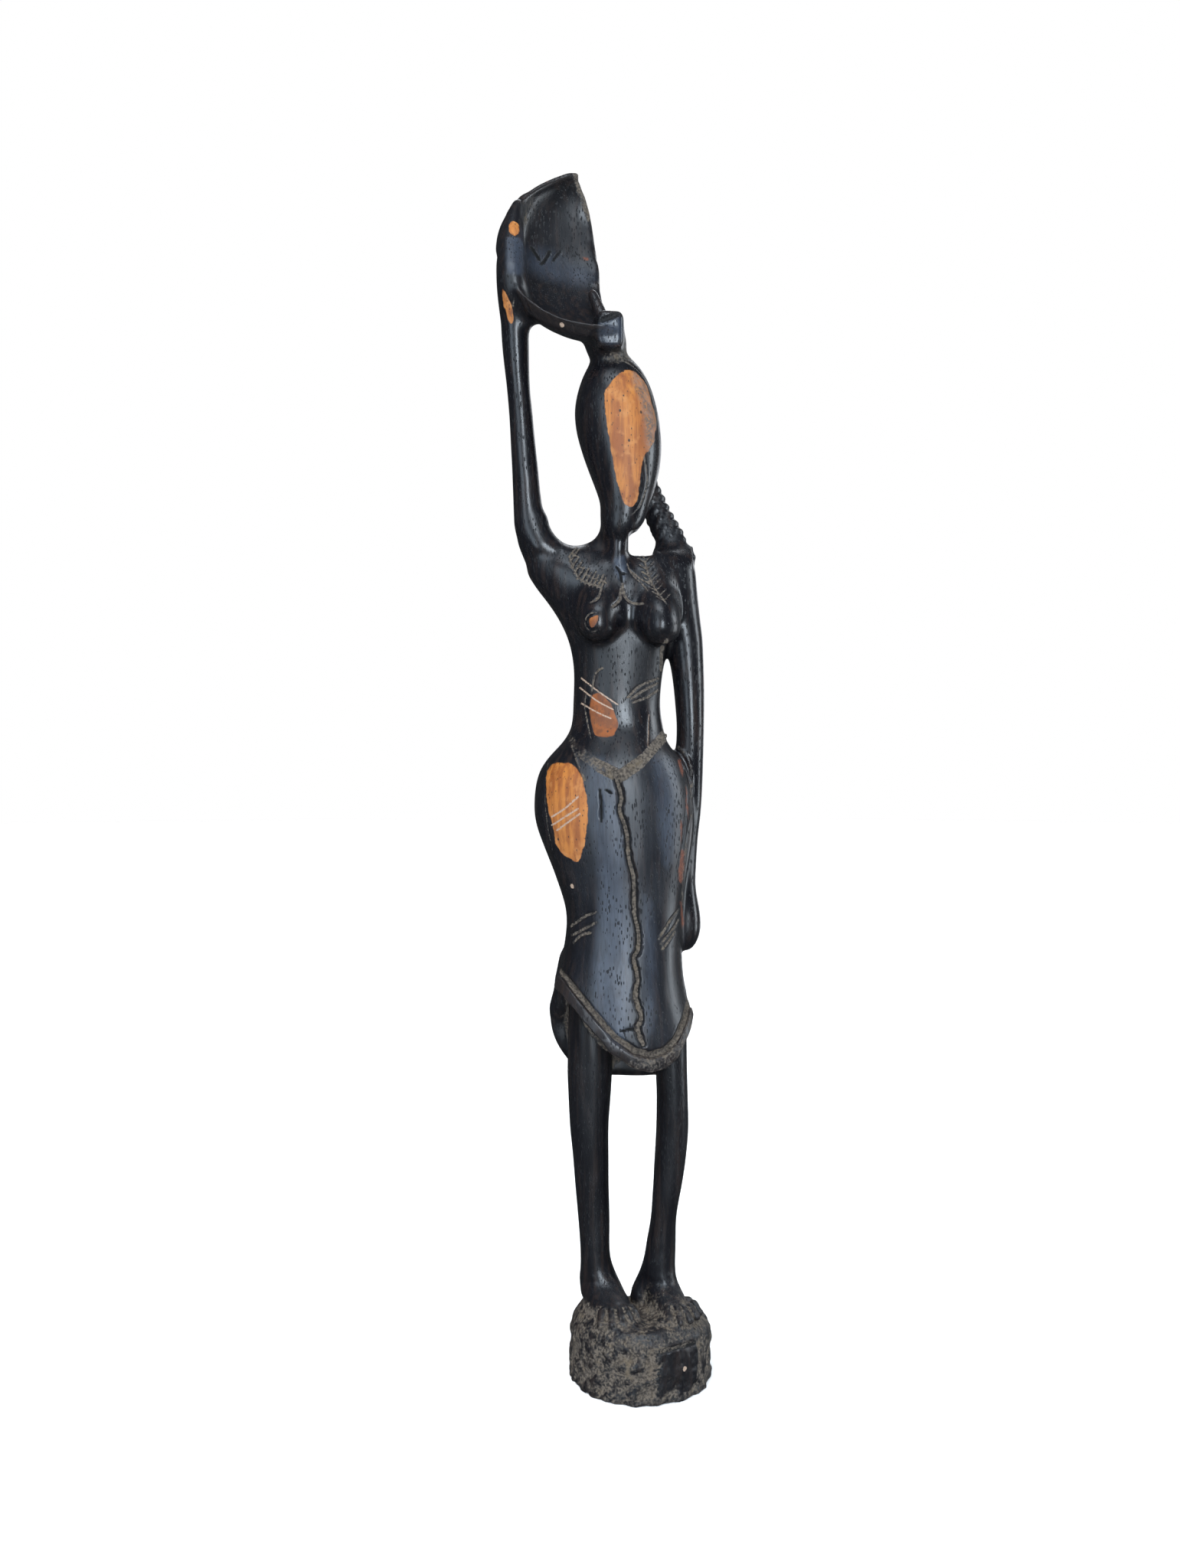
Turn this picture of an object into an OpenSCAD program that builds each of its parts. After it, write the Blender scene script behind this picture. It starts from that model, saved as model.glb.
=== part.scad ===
// Carved ebony figure of a standing woman who steadies a dish on her head.
// The figure faces -Y, +Z is up and the origin is the middle of the plinth's underside.
// "Right" and "left" are the figure's own: her right side lies towards -X.

/* [Plinth] */
// Width of the plinth, side to side
plinth_w = 46; // [44:1:50]
// Depth of the plinth, front to back
plinth_d = 45; // [44:1:50]
// Height of the plinth's worn top
plinth_h = 22; // [20:1:24]

/* [Figure] */
// Height of the legs that shows below the skirt
leg_h = 72; // [68:1:76]
// Height of the skirt, from its back edge to the waist
skirt_h = 113; // [110:1:116]
// Height of the bare torso, from the waist to the shoulders
torso_h = 59; // [57:1:61]
// Height from the shoulders to the crown of the head
head_h = 65; // [64:1:66]

/* [Wrapped skirt] */
// How far the rolled hem and waistband stand proud of the skirt
band_proud = 0.9; // [0.6:0.1:1.2]
// Height of the rolled hem
hem_h = 4; // [3:0.5:5]
// Height of the waistband
waistband_h = 3.5; // [3:0.5:4.5]

/* [Dish] */
// Outer radius of the dish's rim
bowl_r = 36.5; // [35.5:0.5:37]
// Outer depth of the dish
bowl_deep = 20; // [19:0.5:21]
// Thickness of the dish at its rim
bowl_wall = 3; // [2.5:0.5:3.5]
// Thickness of the dish at its bottom
bowl_floor = 4.5; // [4:0.5:5]
// How far the opening looks up from level, in degrees
bowl_tilt = 25; // [22:1:28]

/* [Hidden] */

ebony = "#1b1a1e";
dusty = "#5f574c";
worn = "#3a322c";

hem_z = plinth_h + leg_h;         // the skirt's lowest edge, at the back
waist_z = hem_z + skirt_h;        // the narrow of the waist
shoulder_z = waist_z + torso_h;   // the level top of the shoulders
crown_z = shoulder_z + head_h;    // the top of the head
far = 100;                        // beyond the figure on every side

// Every form below is a list of stations, from the bottom up:
// [height above the form's base, right side, left side, front, back].

// The plinth is a short round block with a worn, rounded top edge.
plinth_form = [
    [0, -plinth_w / 2, plinth_w / 2, -plinth_d / 2, plinth_d / 2],
    [plinth_h - 9, -plinth_w / 2, plinth_w / 2, -plinth_d / 2, plinth_d / 2],
    [plinth_h - 4, -plinth_w / 2 + 1, plinth_w / 2 - 1, -plinth_d / 2 + 0.5, plinth_d / 2 - 1],
    [plinth_h, -plinth_w / 2 + 4, plinth_w / 2 - 5, -plinth_d / 2 + 2, plinth_d / 2 - 3.5]];

// Heights of the legs are above the plinth.
right_leg_form = [
    [12, -19.4, -9.4, -5.5, 5.5], [18, -19.4, -10, -5, 5.5], [28, -20.2, -10, -5, 6],
    [38, -21.1, -10.2, -5.5, 6.5], [48, -21.9, -10.2, -6, 7.5], [58, -22.9, -10.2, -6.5, 8],
    [68, -23.4, -9.5, -7, 8], [80, -23.6, -8.8, -7.5, 8], [106, -23, -8.5, -8, 8]];
left_leg_form = [
    [12, 1, 11.4, -5.5, 5.5], [18, 1.7, 11.4, -5, 5.5], [28, 3.5, 11.7, -5, 6],
    [38, 4.2, 13.4, -5.5, 6.5], [48, 4.7, 14.9, -6, 7.5], [58, 5.2, 15.6, -6.5, 8],
    [68, 5.4, 15.4, -7, 8], [80, 4.7, 15.1, -7.5, 8], [92, 4, 15, -7.5, 8]];

// One trunk runs from the skirt's lower edge to the shoulders; heights are above the skirt's edge.
trunk_form = [
    [0, -22, 13, -16, 15], [4, -25, 16, -18, 17], [10, -29.2, 17.8, -20, 18.5],
    [18, -31.6, 17.8, -20.5, 19.5], [25, -30, 16, -20, 19], [34, -27, 14, -19, 17.5],
    [44, -24.8, 13.4, -18, 16.5], [55, -24, 13.6, -17.5, 16.5], [65, -26.8, 14.4, -18, 17.5],
    [75, -30.6, 16, -19, 19.5], [85, -34, 17, -19.5, 21], [94, -34.2, 16.4, -19.3, 21],
    [101, -32.6, 14.4, -18, 19.5], [106, -29.2, 12, -16.5, 17], [110, -25.4, 9, -15, 14.5],
    [skirt_h + 2, -22.4, 7.4, -13, 11.5], [skirt_h + 10, -21.7, 6.4, -12, 10.5],
    [skirt_h + 20, -21.5, 7.4, -11.5, 10.5], [skirt_h + 28, -22.6, 9, -11.5, 11],
    [skirt_h + 35, -25.4, 10.6, -12, 11.5], [skirt_h + 41, -28.9, 11.6, -12, 12],
    [skirt_h + 47, -33.4, 12.2, -11, 12], [skirt_h + 53, -37.2, 12.8, -9, 10.5],
    [skirt_h + torso_h, -39.4, 12.6, -5.5, 7.5]];

// Heights of the neck, arms and plait are above the shoulders; the head's are above its chin.
neck_form = [
    [-1, -17, -3, -6, 6], [3, -14.2, -4.4, -4.5, 5.6], [8, -12.4, -3.6, -5, 5.2],
    [14, -11.8, -3, -6, 4], [20, -11, -2.4, -6, 2.5]];
chin_h = 3;
head_form = [
    [0, -8.5, -4, -9.5, -5], [2, -11.3, -1.6, -11, -2.5], [6, -12.4, 1.2, -12, 0.5], [11, -13, 2.8, -13, 3],
    [16, -14.4, 4.4, -14, 6], [22, -16.6, 5.9, -14.8, 9], [29, -19, 6.7, -15.2, 11.5],
    [36, -20.7, 6.4, -15.2, 13], [43, -21.2, 5.3, -14.6, 13.5], [49, -20.2, 3.6, -13, 12.8],
    [54, -18.4, 1.2, -10.8, 11], [58, -16.2, -2, -8.5, 8.5], [61, -14.2, -5, -6, 5.5], [62, -12.5, -7, -4, 3.5]];

raised_arm_form = [
    [0, -40.2, -23, -6.5, 7.5], [3, -40.5, -26.2, -6, 6.5], [8, -40.9, -29.8, -5.5, 5.5],
    [16, -41.2, -32, -5, 5], [28, -41.6, -33.3, -5, 4.5], [40, -42.2, -34.6, -5, 4],
    [52, -43, -35.7, -5, 4], [64, -44.4, -36.2, -5.2, 4.2], [74, -45.2, -36, -6.5, 4.5], [84, -46, -36.6, -7, 4.5]];
palm_z = 74; // where the raised arm becomes the hand
raised_hand_form = [
    [0, -45.2, -36, -6.5, 4.5], [6, -45.9, -34.8, -10.5, 4.5], [12, -46.3, -36, -11.5, 2.5],
    [18, -46.4, -36.9, -9.5, 3], [25, -46.1, -37.6, -6.2, 5], [32, -45, -38, -3, 7.2], [38, -43.2, -38.2, 0.2, 8.8],
    [42, -41.4, -38.4, 2.8, 8.4]];

// Heights of the hanging arm are above the skirt's edge, like the trunk's.
hanging_arm_form = [
    [42, 11, 16.5, 1.5, 8.5], [45, 9, 18.6, -1.2, 10.5], [50, 8, 20, -2, 11.5], [56, 8, 19.6, -1.6, 12],
    [64, 8.5, 18.4, 0, 12], [76, 9, 19, 1, 12], [90, 10, 20.4, 0.5, 11.5], [104, 11.4, 20.8, -1, 10.5],
    [115, 12, 21, -2.2, 9.5], [125, 11.3, 21, -3, 9], [135, 9.9, 20.8, -4, 9], [144, 8, 20.4, -5, 9.5],
    [152, 5, 19.4, -5.8, 10], [160, 2, 18.6, -6.4, 10], [167, 1, 17.8, -6.2, 9.5], [172, 4, 16, -4.5, 8]];
wrist_z = hem_z + 62;

// The dish's bottom left a broad foot on the crown of the head.
dish_foot_form = [
    [0, -16.6, -4.5, -7.5, 6.5], [3, -18, -5.2, -9.5, 6], [5.5, -17, -5.8, -11, 4.5], [8, -15.6, -6, -12, 3],
    [11, -15.2, -6.1, -12.5, 1], [14, -14.8, -6.6, -12, -2]];

// Line of the waistband across the front of the trunk, as [x, height above the waist].
waist_line = [[-far, 1], [-23.4, 1], [-21, -5], [-14, -10.5], [-7, -14], [0, -9], [6.4, -2], [8.4, 0], [far, 0]];
// Its line behind.
back_line = [[-far, 1], [-23.4, 1], [8.4, 0], [far, 0]];
// Line of the hem across the front of the skirt, as [x, height above the skirt's lowest edge].
hem_line = [[-far, 36], [-29, 33], [-24.5, 30.5], [-19, 24.5], [-9.5, 14], [-3, 9.5], [2.5, 8], [7, 9],
            [11, 12], [14.5, 18], [17, 25], [far, 27]];
panel_y = 7;   // the back panel hangs behind this depth
panel_h = 33;  // and reaches this far above the skirt's edge

// Each breast is the [x, y, height above the waist] of its tip and of where it leaves the chest.
breasts = [[[-13.8, -13.4, 34.5], [-12.5, -6, 41]], [[6, -13.4, 33.5], [4, -6, 41]]];
breast_r = 5.6;

// Middle of the dish's opening.
bowl_at = [-10.3, -2, crown_z + 33];
// Edge of the break down the dish, as [x, height above the crown].
break_line = [[-20, far], [-20, 65], [-17.4, 58], [-15.4, 49], [-13.8, 39], [-13.2, 31], [-12.2, 21],
              [-11.2, 16], [-10.4, 11], [-8.6, 8], [-8.6, -20]];

// The plait hangs from behind the head onto the left shoulder: [x, y, height above the shoulders, half width].
plait_knots = [[0, 9.5, 32, 3], [1.2, 10, 28, 3.6], [2.4, 9.6, 24, 4], [3.8, 8.8, 20, 4.2], [5.2, 8, 16, 4.4],
               [6.8, 7, 12, 4.7], [8.4, 6, 8.5, 5], [10, 5, 5, 5.3], [11.6, 4, 1.5, 5.6], [12.8, 3.4, -2, 5.4]];
plait_thick = 3.2;

// Each foot is [x, y, z, half width, half height] from the ankle to the toes; heights are above the plinth.
right_foot_form = [[-14.4, 2, 13, 5, 2], [-14.4, 1.6, 9, 5.4, 5.5], [-13.4, -1, 5.5, 6, 5.5],
                   [-11.6, -4.5, 3.5, 6.2, 5], [-9.6, -8, 2, 6.4, 4.4], [-7.8, -11.2, 1, 6.2, 3.4]];
left_foot_form = [[6.2, 2, 13, 5, 2], [6, 1.6, 9, 5.4, 5.5], [6.8, -0.5, 5.5, 5.6, 5.5],
                  [8, -3.5, 3.5, 5.8, 5], [9.4, -6.5, 2, 5.8, 4.4], [10.6, -9.2, 1, 5.6, 3.4]];
// Toes fan out from a foot's front end, from the great toe outwards; each is shorter than the last.
toe_count = 5;

// ---------------------------------------------------------------- lofts

// Slope of a station list at one station, for a smooth curve through all of them.
function slope(s, i) =
    let (a = max(i - 1, 0), b = min(i + 1, len(s) - 1)) (s[b] - s[a]) / (s[b][0] - s[a][0]);

// A station part of the way from station i to the next.
function between(s, i, t) =
    let (d = s[i + 1][0] - s[i][0], t2 = t * t, t3 = t2 * t)
    (2 * t3 - 3 * t2 + 1) * s[i] + (t3 - 2 * t2 + t) * d * slope(s, i)
    + (3 * t2 - 2 * t3) * s[i + 1] + (t3 - t2) * d * slope(s, i + 1);

// Every station, with more of them in between where two lie over one step apart.
function filled(s, step) = [
    for (i = [0:len(s) - 2])
        let (n = ceil((s[i + 1][0] - s[i][0]) / step))
        for (k = [0:n - 1]) between(s, i, k / n),
    s[len(s) - 1]];

function signed_power(v, p) = sign(v) * pow(abs(v), p);

// Outline of one station, larger by grow all round. A bend of 1 is an ellipse, and less is squarer.
function outline(st, sides, grow, bend) =
    let (mid_x = (st[1] + st[2]) / 2, mid_y = (st[3] + st[4]) / 2,
         half_x = (st[2] - st[1]) / 2 + grow, half_y = (st[4] - st[3]) / 2 + grow)
    [for (k = [0:sides - 1])
        let (a = 360 * k / sides)
        [mid_x + half_x * signed_power(cos(a), bend), mid_y + half_y * signed_power(sin(a), bend), st[0]]];

// A closed skin over a form's stations, standing on the height base.
module loft(form, base = 0, step = 4, sides = 32, grow = 0, bend = 0.9) {
    rows = filled(form, step);
    last = len(rows) - 1;
    ring_points = [for (r = rows) each outline(r, sides, grow, bend)];
    walls = [for (r = [0:last - 1], k = [0:sides - 1])
        let (a = r * sides + k, b = r * sides + (k + 1) % sides)
        each [[a, b + sides, b], [a, a + sides, b + sides]]];
    ends = [[for (k = [0:sides - 1]) k], [for (k = [sides - 1:-1:0]) last * sides + k]];
    translate([0, 0, base]) polyhedron(ring_points, concat(walls, ends), convexity = 4);
}

// Joins a carved form into one closed surface, at its own size.
module carved() { resize([0, 0, 0]) children(); }

// A slab across the figure, front to back, under or over a line of [x, height] points.
module under(line, base, y0, y1) {
    translate([0, y1, base]) rotate([90, 0, 0]) linear_extrude(y1 - y0)
        polygon(concat(line, [[far, -2 * far], [-far, -2 * far]]));
}
module over(line, base, y0, y1) {
    translate([0, y1, base]) rotate([90, 0, 0]) linear_extrude(y1 - y0)
        polygon(concat(line, [[far, 2 * far], [-far, 2 * far]]));
}

// A line of [x, height] points moved up.
function raised(line, h) = [for (p = line) [p[0], p[1] + h]];

// ---------------------------------------------------------------- shared forms

module trunk(grow = 0) loft(trunk_form, base = hem_z, step = 4, sides = 40, grow = grow);

// Everything above the waistband's line, in front, and above the waist behind.
module above_waist(h = 0) {
    over(raised(waist_line, h), waist_z, -far, 0);
    over(raised(back_line, h), waist_z, 0, far);
}
module below_waist(h = 0) {
    under(raised(waist_line, h), waist_z, -far, 0);
    under(raised(back_line, h), waist_z, 0, far);
}

// The open space under the front of the skirt, and the back panel's share of the trunk.
module under_hem(h = 0) under(raised(hem_line, h), hem_z, -far, panel_y);
module panel_space() translate([-far, panel_y, hem_z - 1]) cube([2 * far, far, panel_h + 1]);

module chest() {
    trunk();
    for (b = breasts) translate([0, 0, waist_z]) hull() {
        translate(b[0]) sphere(breast_r, $fn = 24);
        translate((b[0] + b[1]) / 2) sphere(breast_r + 1.4, $fn = 24);
        translate(b[1]) sphere(breast_r, $fn = 24);
    }
}

module head_egg() loft(head_form, base = shoulder_z + chin_h, step = 3, sides = 32);

module in_bowl() translate(bowl_at) rotate([90 - bowl_tilt, 0, 0]) children();

// The whole dish before it broke: an elliptic outside and inside with a rounded rim.
module whole_dish() {
    inner_r = bowl_r - bowl_wall;
    outside = [for (a = [0:6:84]) [bowl_r * sin(a), -bowl_deep * cos(a)]];
    rim = [for (a = [0:30:180]) [bowl_r - bowl_wall / 2 + bowl_wall / 2 * cos(a), bowl_wall / 2 * sin(a)]];
    inside = [for (a = [84:-6:0]) [inner_r * sin(a), -(bowl_deep - bowl_floor) * cos(a)]];
    in_bowl() rotate_extrude($fn = 96) polygon(concat(outside, rim, inside));
}
module dish() difference() {
    whole_dish();
    translate([0, far, crown_z]) rotate([90, 0, 0]) linear_extrude(2 * far)
        polygon(concat(break_line, [[far, -20], [far, far]]));
}

// A foot is a chain of rounded forms from the ankle to the ball, with toes fanned from its front.
module foot(form, turn) {
    module pad(f) translate([f[0], f[1], plinth_h + f[2]]) scale([f[3], 5, f[4]]) sphere(1, $fn = 24);
    for (i = [0:len(form) - 2]) hull() { pad(form[i]); pad(form[i + 1]); }
    ball = form[len(form) - 1];
    for (k = [0:toe_count - 1])
        translate([ball[0], ball[1], plinth_h + 0.6]) rotate(turn + 12 * (k - 2))
            hull() {
                translate([(k - 2) * 2.1, 0, 0]) sphere(1.7, $fn = 16);
                translate([(k - 2) * 2.1, -5.6 + 0.5 * k, 0]) sphere(1.3, $fn = 16);
            }
}

// ---------------------------------------------------------------- sub-parts

module plinth() color(dusty) carved() loft(plinth_form, step = 3, sides = 48, bend = 1);

module above_plinth() intersection() {
    children();
    translate([-far, -far, plinth_h]) cube([2 * far, 2 * far, far]);
}
module right_foot() color(worn) carved() difference() {
    above_plinth() foot(right_foot_form, 18);
    loft(right_leg_form, base = plinth_h, sides = 24);
}
module left_foot() color(worn) carved() difference() {
    above_plinth() foot(left_foot_form, 20);
    loft(left_leg_form, base = plinth_h, sides = 24);
    foot(right_foot_form, 18);
}

module leg(form) color(ebony) carved() difference() {
    loft(form, base = plinth_h, sides = 24);
    difference() {
        trunk();
        difference() { under_hem(); panel_space(); }
    }
}
module right_leg() leg(right_leg_form);
module left_leg() leg(left_leg_form);

module skirt() color(ebony) carved() difference() {
    intersection() { trunk(); below_waist(); }
    under_hem();
    panel_space();
}
module skirt_back() color(ebony) carved() intersection() { trunk(); panel_space(); }
module skirt_hem() color(dusty) carved() difference() {
    intersection() {
        trunk(band_proud);
        under_hem(hem_h);
        translate([-far, -far, hem_z]) cube([2 * far, far + panel_y, far]);
    }
    under_hem();
    trunk();
}
module waistband() color(dusty) carved() difference() {
    intersection() {
        trunk(band_proud);
        above_waist(-waistband_h / 2);
        below_waist(waistband_h / 2);
    }
    trunk();
}

module torso() color(ebony) carved() intersection() { chest(); above_waist(); }
module neck() color(ebony) carved() difference() {
    loft(neck_form, base = shoulder_z, step = 3, sides = 24);
    chest();
    head_egg();
}
module head() color(ebony) carved() head_egg();
module hair_plait() color(worn) carved() difference() {
    for (i = [0:len(plait_knots) - 2])
        hull() for (k = [plait_knots[i], plait_knots[i + 1]])
            translate([k[0], k[1], shoulder_z + k[2]]) scale([k[3], plait_thick, 3.6]) sphere(1, $fn = 16);
    head_egg();
    chest();
    loft(hanging_arm_form, base = hem_z, sides = 24);
}

module raised_arm() color(ebony) carved() difference() {
    intersection() {
        loft(raised_arm_form, base = shoulder_z, sides = 24);
        translate([-far, -far, shoulder_z]) cube([2 * far, 2 * far, palm_z]);
    }
    dish();
}
module raised_hand() color(ebony) carved() difference() {
    loft(raised_hand_form, base = shoulder_z + palm_z, step = 3, sides = 24);
    dish();
}

module hanging_limb() difference() {
    loft(hanging_arm_form, base = hem_z, sides = 24);
    chest();
    trunk(band_proud);
}
module hanging_arm() color(ebony) carved() intersection() {
    hanging_limb();
    translate([-far, -far, wrist_z]) cube([2 * far, 2 * far, 2 * far]);
}
module hanging_hand() color(ebony) carved() difference() {
    hanging_limb();
    translate([-far, -far, wrist_z]) cube([2 * far, 2 * far, 2 * far]);
}

module dish_foot() color(ebony) carved() difference() {
    loft(dish_foot_form, base = crown_z - 2, step = 3, sides = 24);
    head_egg();
    dish();
}
module bowl() color(ebony) dish();

plinth();
right_foot();
left_foot();
right_leg();
left_leg();
skirt();
skirt_back();
skirt_hem();
waistband();
torso();
neck();
head();
hair_plait();
raised_arm();
raised_hand();
hanging_arm();
hanging_hand();
dish_foot();
bowl();
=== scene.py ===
import math

import bpy
import numpy as np
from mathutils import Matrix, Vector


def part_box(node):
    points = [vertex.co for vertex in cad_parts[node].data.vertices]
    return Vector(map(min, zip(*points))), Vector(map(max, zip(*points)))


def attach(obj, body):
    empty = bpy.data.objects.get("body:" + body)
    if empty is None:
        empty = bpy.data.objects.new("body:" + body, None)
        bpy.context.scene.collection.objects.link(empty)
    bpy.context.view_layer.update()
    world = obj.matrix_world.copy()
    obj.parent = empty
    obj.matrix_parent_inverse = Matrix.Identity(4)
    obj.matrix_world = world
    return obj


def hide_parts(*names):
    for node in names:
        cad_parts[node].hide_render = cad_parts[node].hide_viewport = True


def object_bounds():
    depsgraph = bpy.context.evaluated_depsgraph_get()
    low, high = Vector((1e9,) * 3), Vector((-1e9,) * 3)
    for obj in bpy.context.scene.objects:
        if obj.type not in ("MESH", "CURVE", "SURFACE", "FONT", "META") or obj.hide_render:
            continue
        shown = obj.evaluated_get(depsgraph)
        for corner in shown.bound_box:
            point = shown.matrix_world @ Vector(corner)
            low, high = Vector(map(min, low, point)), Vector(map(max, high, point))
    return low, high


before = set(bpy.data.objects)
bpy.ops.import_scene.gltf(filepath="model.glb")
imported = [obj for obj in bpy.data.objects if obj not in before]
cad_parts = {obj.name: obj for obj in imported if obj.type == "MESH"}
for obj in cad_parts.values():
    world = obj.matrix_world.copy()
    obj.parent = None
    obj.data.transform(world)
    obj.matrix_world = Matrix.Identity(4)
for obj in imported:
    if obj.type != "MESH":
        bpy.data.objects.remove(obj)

import openvdb
from mathutils import Vector

cad_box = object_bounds()

# The whole figure is carved from one block of wood, so its skin is made as one: the distances to the
# CAD solids are joined on a grid, their joints are filled and worn smooth, and every crack, groove
# and chisel mark is cut into that one form. Each CAD node then gets the share of the form that lies
# nearest to it. Lengths are in millimetres until the pieces are built. The figure faces -Y, and
# right and left are her own.

MM = 1000.0                          # millimetres in a metre
VOXEL = 0.4   # spacing of the grid
REACH = 4.8                          # distances are kept this far from a surface
ROOM = 4.0                           # empty grid round the figure

# ---------------------------------------------------------------- the grid

spacing = openvdb.createLinearTransform(voxelSize=VOXEL)
whole_low, whole_high = (np.array(corner) * MM for corner in cad_box)
grid_start = np.floor((whole_low - ROOM) / VOXEL).astype(int)
grid_shape = np.ceil((whole_high + ROOM) / VOXEL).astype(int) - grid_start + 1
WHOLE = tuple(slice(0, int(count)) for count in grid_shape)


def mm_box(node):
    low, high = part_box(node)
    return np.array(low) * MM, np.array(high) * MM


def window(low, high, room=0.0):
    """The part of the grid that holds a box, as three slices."""
    first = np.maximum(np.floor((low - room) / VOXEL).astype(int) - grid_start, 0)
    last = np.minimum(np.ceil((high + room) / VOXEL).astype(int) - grid_start + 1, grid_shape)
    return tuple(slice(int(a), int(b)) for a, b in zip(first, last))


def shape_of(part):
    return tuple(s.stop - s.start for s in part)


def start_of(part):
    return tuple(int(s.start + g) for s, g in zip(part, grid_start))


def axes(part):
    """x, y and z of a window's grid points, shaped so that they spread over one another."""
    x, y, z = ((np.arange(s.start, s.stop) + g).astype(np.float32) * VOXEL for s, g in zip(part, grid_start))
    return x[:, None, None], y[None, :, None], z[None, None, :]


def distances(points, faces, part):
    """Distances to a closed mesh on a window of the grid, below zero inside it."""
    grid = openvdb.FloatGrid.createLevelSetFromPolygons(
        points, transform=spacing, halfWidth=REACH / VOXEL, **faces)
    values = np.empty(shape_of(part), np.float32)
    grid.copyToArray(values, ijk=start_of(part))
    return values


def skin(values, part, level=0.0):
    """Points and quads of the surface where values equal level."""
    grid = openvdb.FloatGrid(REACH)
    grid.copyFromArray(values, ijk=start_of(part))
    grid.transform = spacing
    return grid.convertToQuads(level)


def resurfaced(values, level):
    """Distances to the surface where values equal level."""
    points, quads = skin(values, WHOLE, level)
    return distances(points, {"quads": quads}, WHOLE)


def sample(values, part, points):
    """Values between the grid points of a window, at points."""
    place = points / VOXEL - np.array(start_of(part))
    place = np.clip(place, 0, np.array(values.shape) - 1.001)
    first = place.astype(np.int32)
    share = (place - first).astype(np.float32)
    result = np.zeros(len(points), np.float32)
    for sides in np.ndindex(2, 2, 2):
        weight = np.ones(len(points), np.float32)
        for axis, side in enumerate(sides):
            weight *= share[:, axis] if side else 1 - share[:, axis]
        result += weight * values[tuple(first[:, axis] + side for axis, side in enumerate(sides))]
    return result


# ---------------------------------------------------------------- shaping

def smooth_step(start, end, value):
    t = np.clip((value - start) / (end - start), 0, 1)
    return t * t * (3 - 2 * t)


def span(value, start, full, fading, end):
    """Rises from 0 at start to 1 at full, and falls from 1 at fading to 0 at end."""
    return smooth_step(start, full, value) * smooth_step(end, fading, value)


def joined(a, b, blend):
    """The union of two forms, with the crease between them filled."""
    share = np.maximum(blend - np.abs(a - b), 0) / blend
    return np.minimum(a, b) - share * share * blend / 4


def ellipsoid(offsets, radii):
    """Nearly the distances to an ellipsoid round the origin, below zero inside it."""
    far = np.sqrt(sum((v / r) ** 2 for v, r in zip(offsets, radii)))
    steep = np.sqrt(sum((v / r ** 2) ** 2 for v, r in zip(offsets, radii)))
    return far * (far - 1) / np.maximum(steep, 1e-6)


def rounded_edge(a, b, rounding):
    """Distances to the rounded edge of two faces, from the distances outside each face."""
    a, b = a + rounding, b + rounding
    return np.hypot(np.maximum(a, 0), np.maximum(b, 0)) + np.minimum(np.maximum(a, b), 0) - rounding


def blurred(values, width):
    reach = max(1, int(math.ceil(2.5 * width / VOXEL)))
    weights = np.exp(-0.5 * (np.arange(reach + 1) * VOXEL / width) ** 2)
    weights /= weights[0] + 2 * weights[1:].sum()
    for axis in range(3):
        edges = [(reach, reach) if a == axis else (0, 0) for a in range(3)]
        padded = np.pad(values, edges, mode="edge")
        count = values.shape[axis]

        def shifted(step):
            return padded[tuple(slice(reach + step, reach + step + count) if a == axis else slice(None)
                                for a in range(3))]

        values = shifted(0) * np.float32(weights[0])
        for step in range(1, reach + 1):
            values += (shifted(step) + shifted(-step)) * np.float32(weights[step])
    return values


def relaxed(values, width):
    """Blurs facets and edges away without shrinking what is wider."""
    once = blurred(values, width)
    return 2 * once - blurred(once, width)


LATTICE = 32   # lumps repeat after this many


def lumps(x, y, z, size, seed):
    """Smooth random values from -1 to 1, one lump every size mm; size may differ for x, y and z."""
    table = np.random.default_rng(seed).uniform(-1, 1, (LATTICE,) * 3).astype(np.float32)
    sizes = size if isinstance(size, tuple) else (size,) * 3
    cells, shares = [], []
    for value, step in zip((x, y, z), sizes):
        scaled = value / step
        cell = np.floor(scaled)
        share = scaled - cell
        cells.append(cell.astype(np.int32))
        shares.append(share * share * (3 - 2 * share))
    total = 0
    for sides in np.ndindex(2, 2, 2):
        corner = table[tuple((c + s) % LATTICE for c, s in zip(cells, sides))]
        for share, side in zip(shares, sides):
            corner = corner * (share if side else 1 - share)
        total = total + corner
    return total


def distance_to_path(x, y, z, path):
    """Distance from points to a path, and how far along the path each lies, from 0 to 1."""
    best = np.full(np.shape(x), np.inf, np.float32)
    along = np.zeros(np.shape(x), np.float32)
    lengths = np.linalg.norm(np.diff(path, axis=0), axis=1)
    total = max(lengths.sum(), 1e-6)
    done = 0.0
    for a, b, length in zip(path, path[1:], lengths):
        step = b - a
        t = ((x - a[0]) * step[0] + (y - a[1]) * step[1] + (z - a[2]) * step[2]) / max(length ** 2, 1e-9)
        t = np.clip(t, 0, 1)
        gap = (x - a[0] - t * step[0]) ** 2 + (y - a[1] - t * step[1]) ** 2 + (z - a[2] - t * step[2]) ** 2
        closer = gap < best
        best = np.where(closer, gap, best)
        along = np.where(closer, (done + t * length) / total, along)
        done += length
    return np.sqrt(best), along


def curved(points, pieces=5):
    """More points, along a smooth curve through a few."""
    p = np.array([points[0], *points, points[-1]], float)
    result = []
    for a, b, c, d in zip(p, p[1:], p[2:], p[3:]):
        for t in np.arange(pieces) / pieces:
            result.append(0.5 * (2 * b + (c - a) * t + (2 * a - 5 * b + 4 * c - d) * t * t
                                 + (3 * b - a - 3 * c + d) * t ** 3))
    result.append(p[-2])
    return np.array(result)


# ---------------------------------------------------------------- the CAD solids as distances

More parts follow.
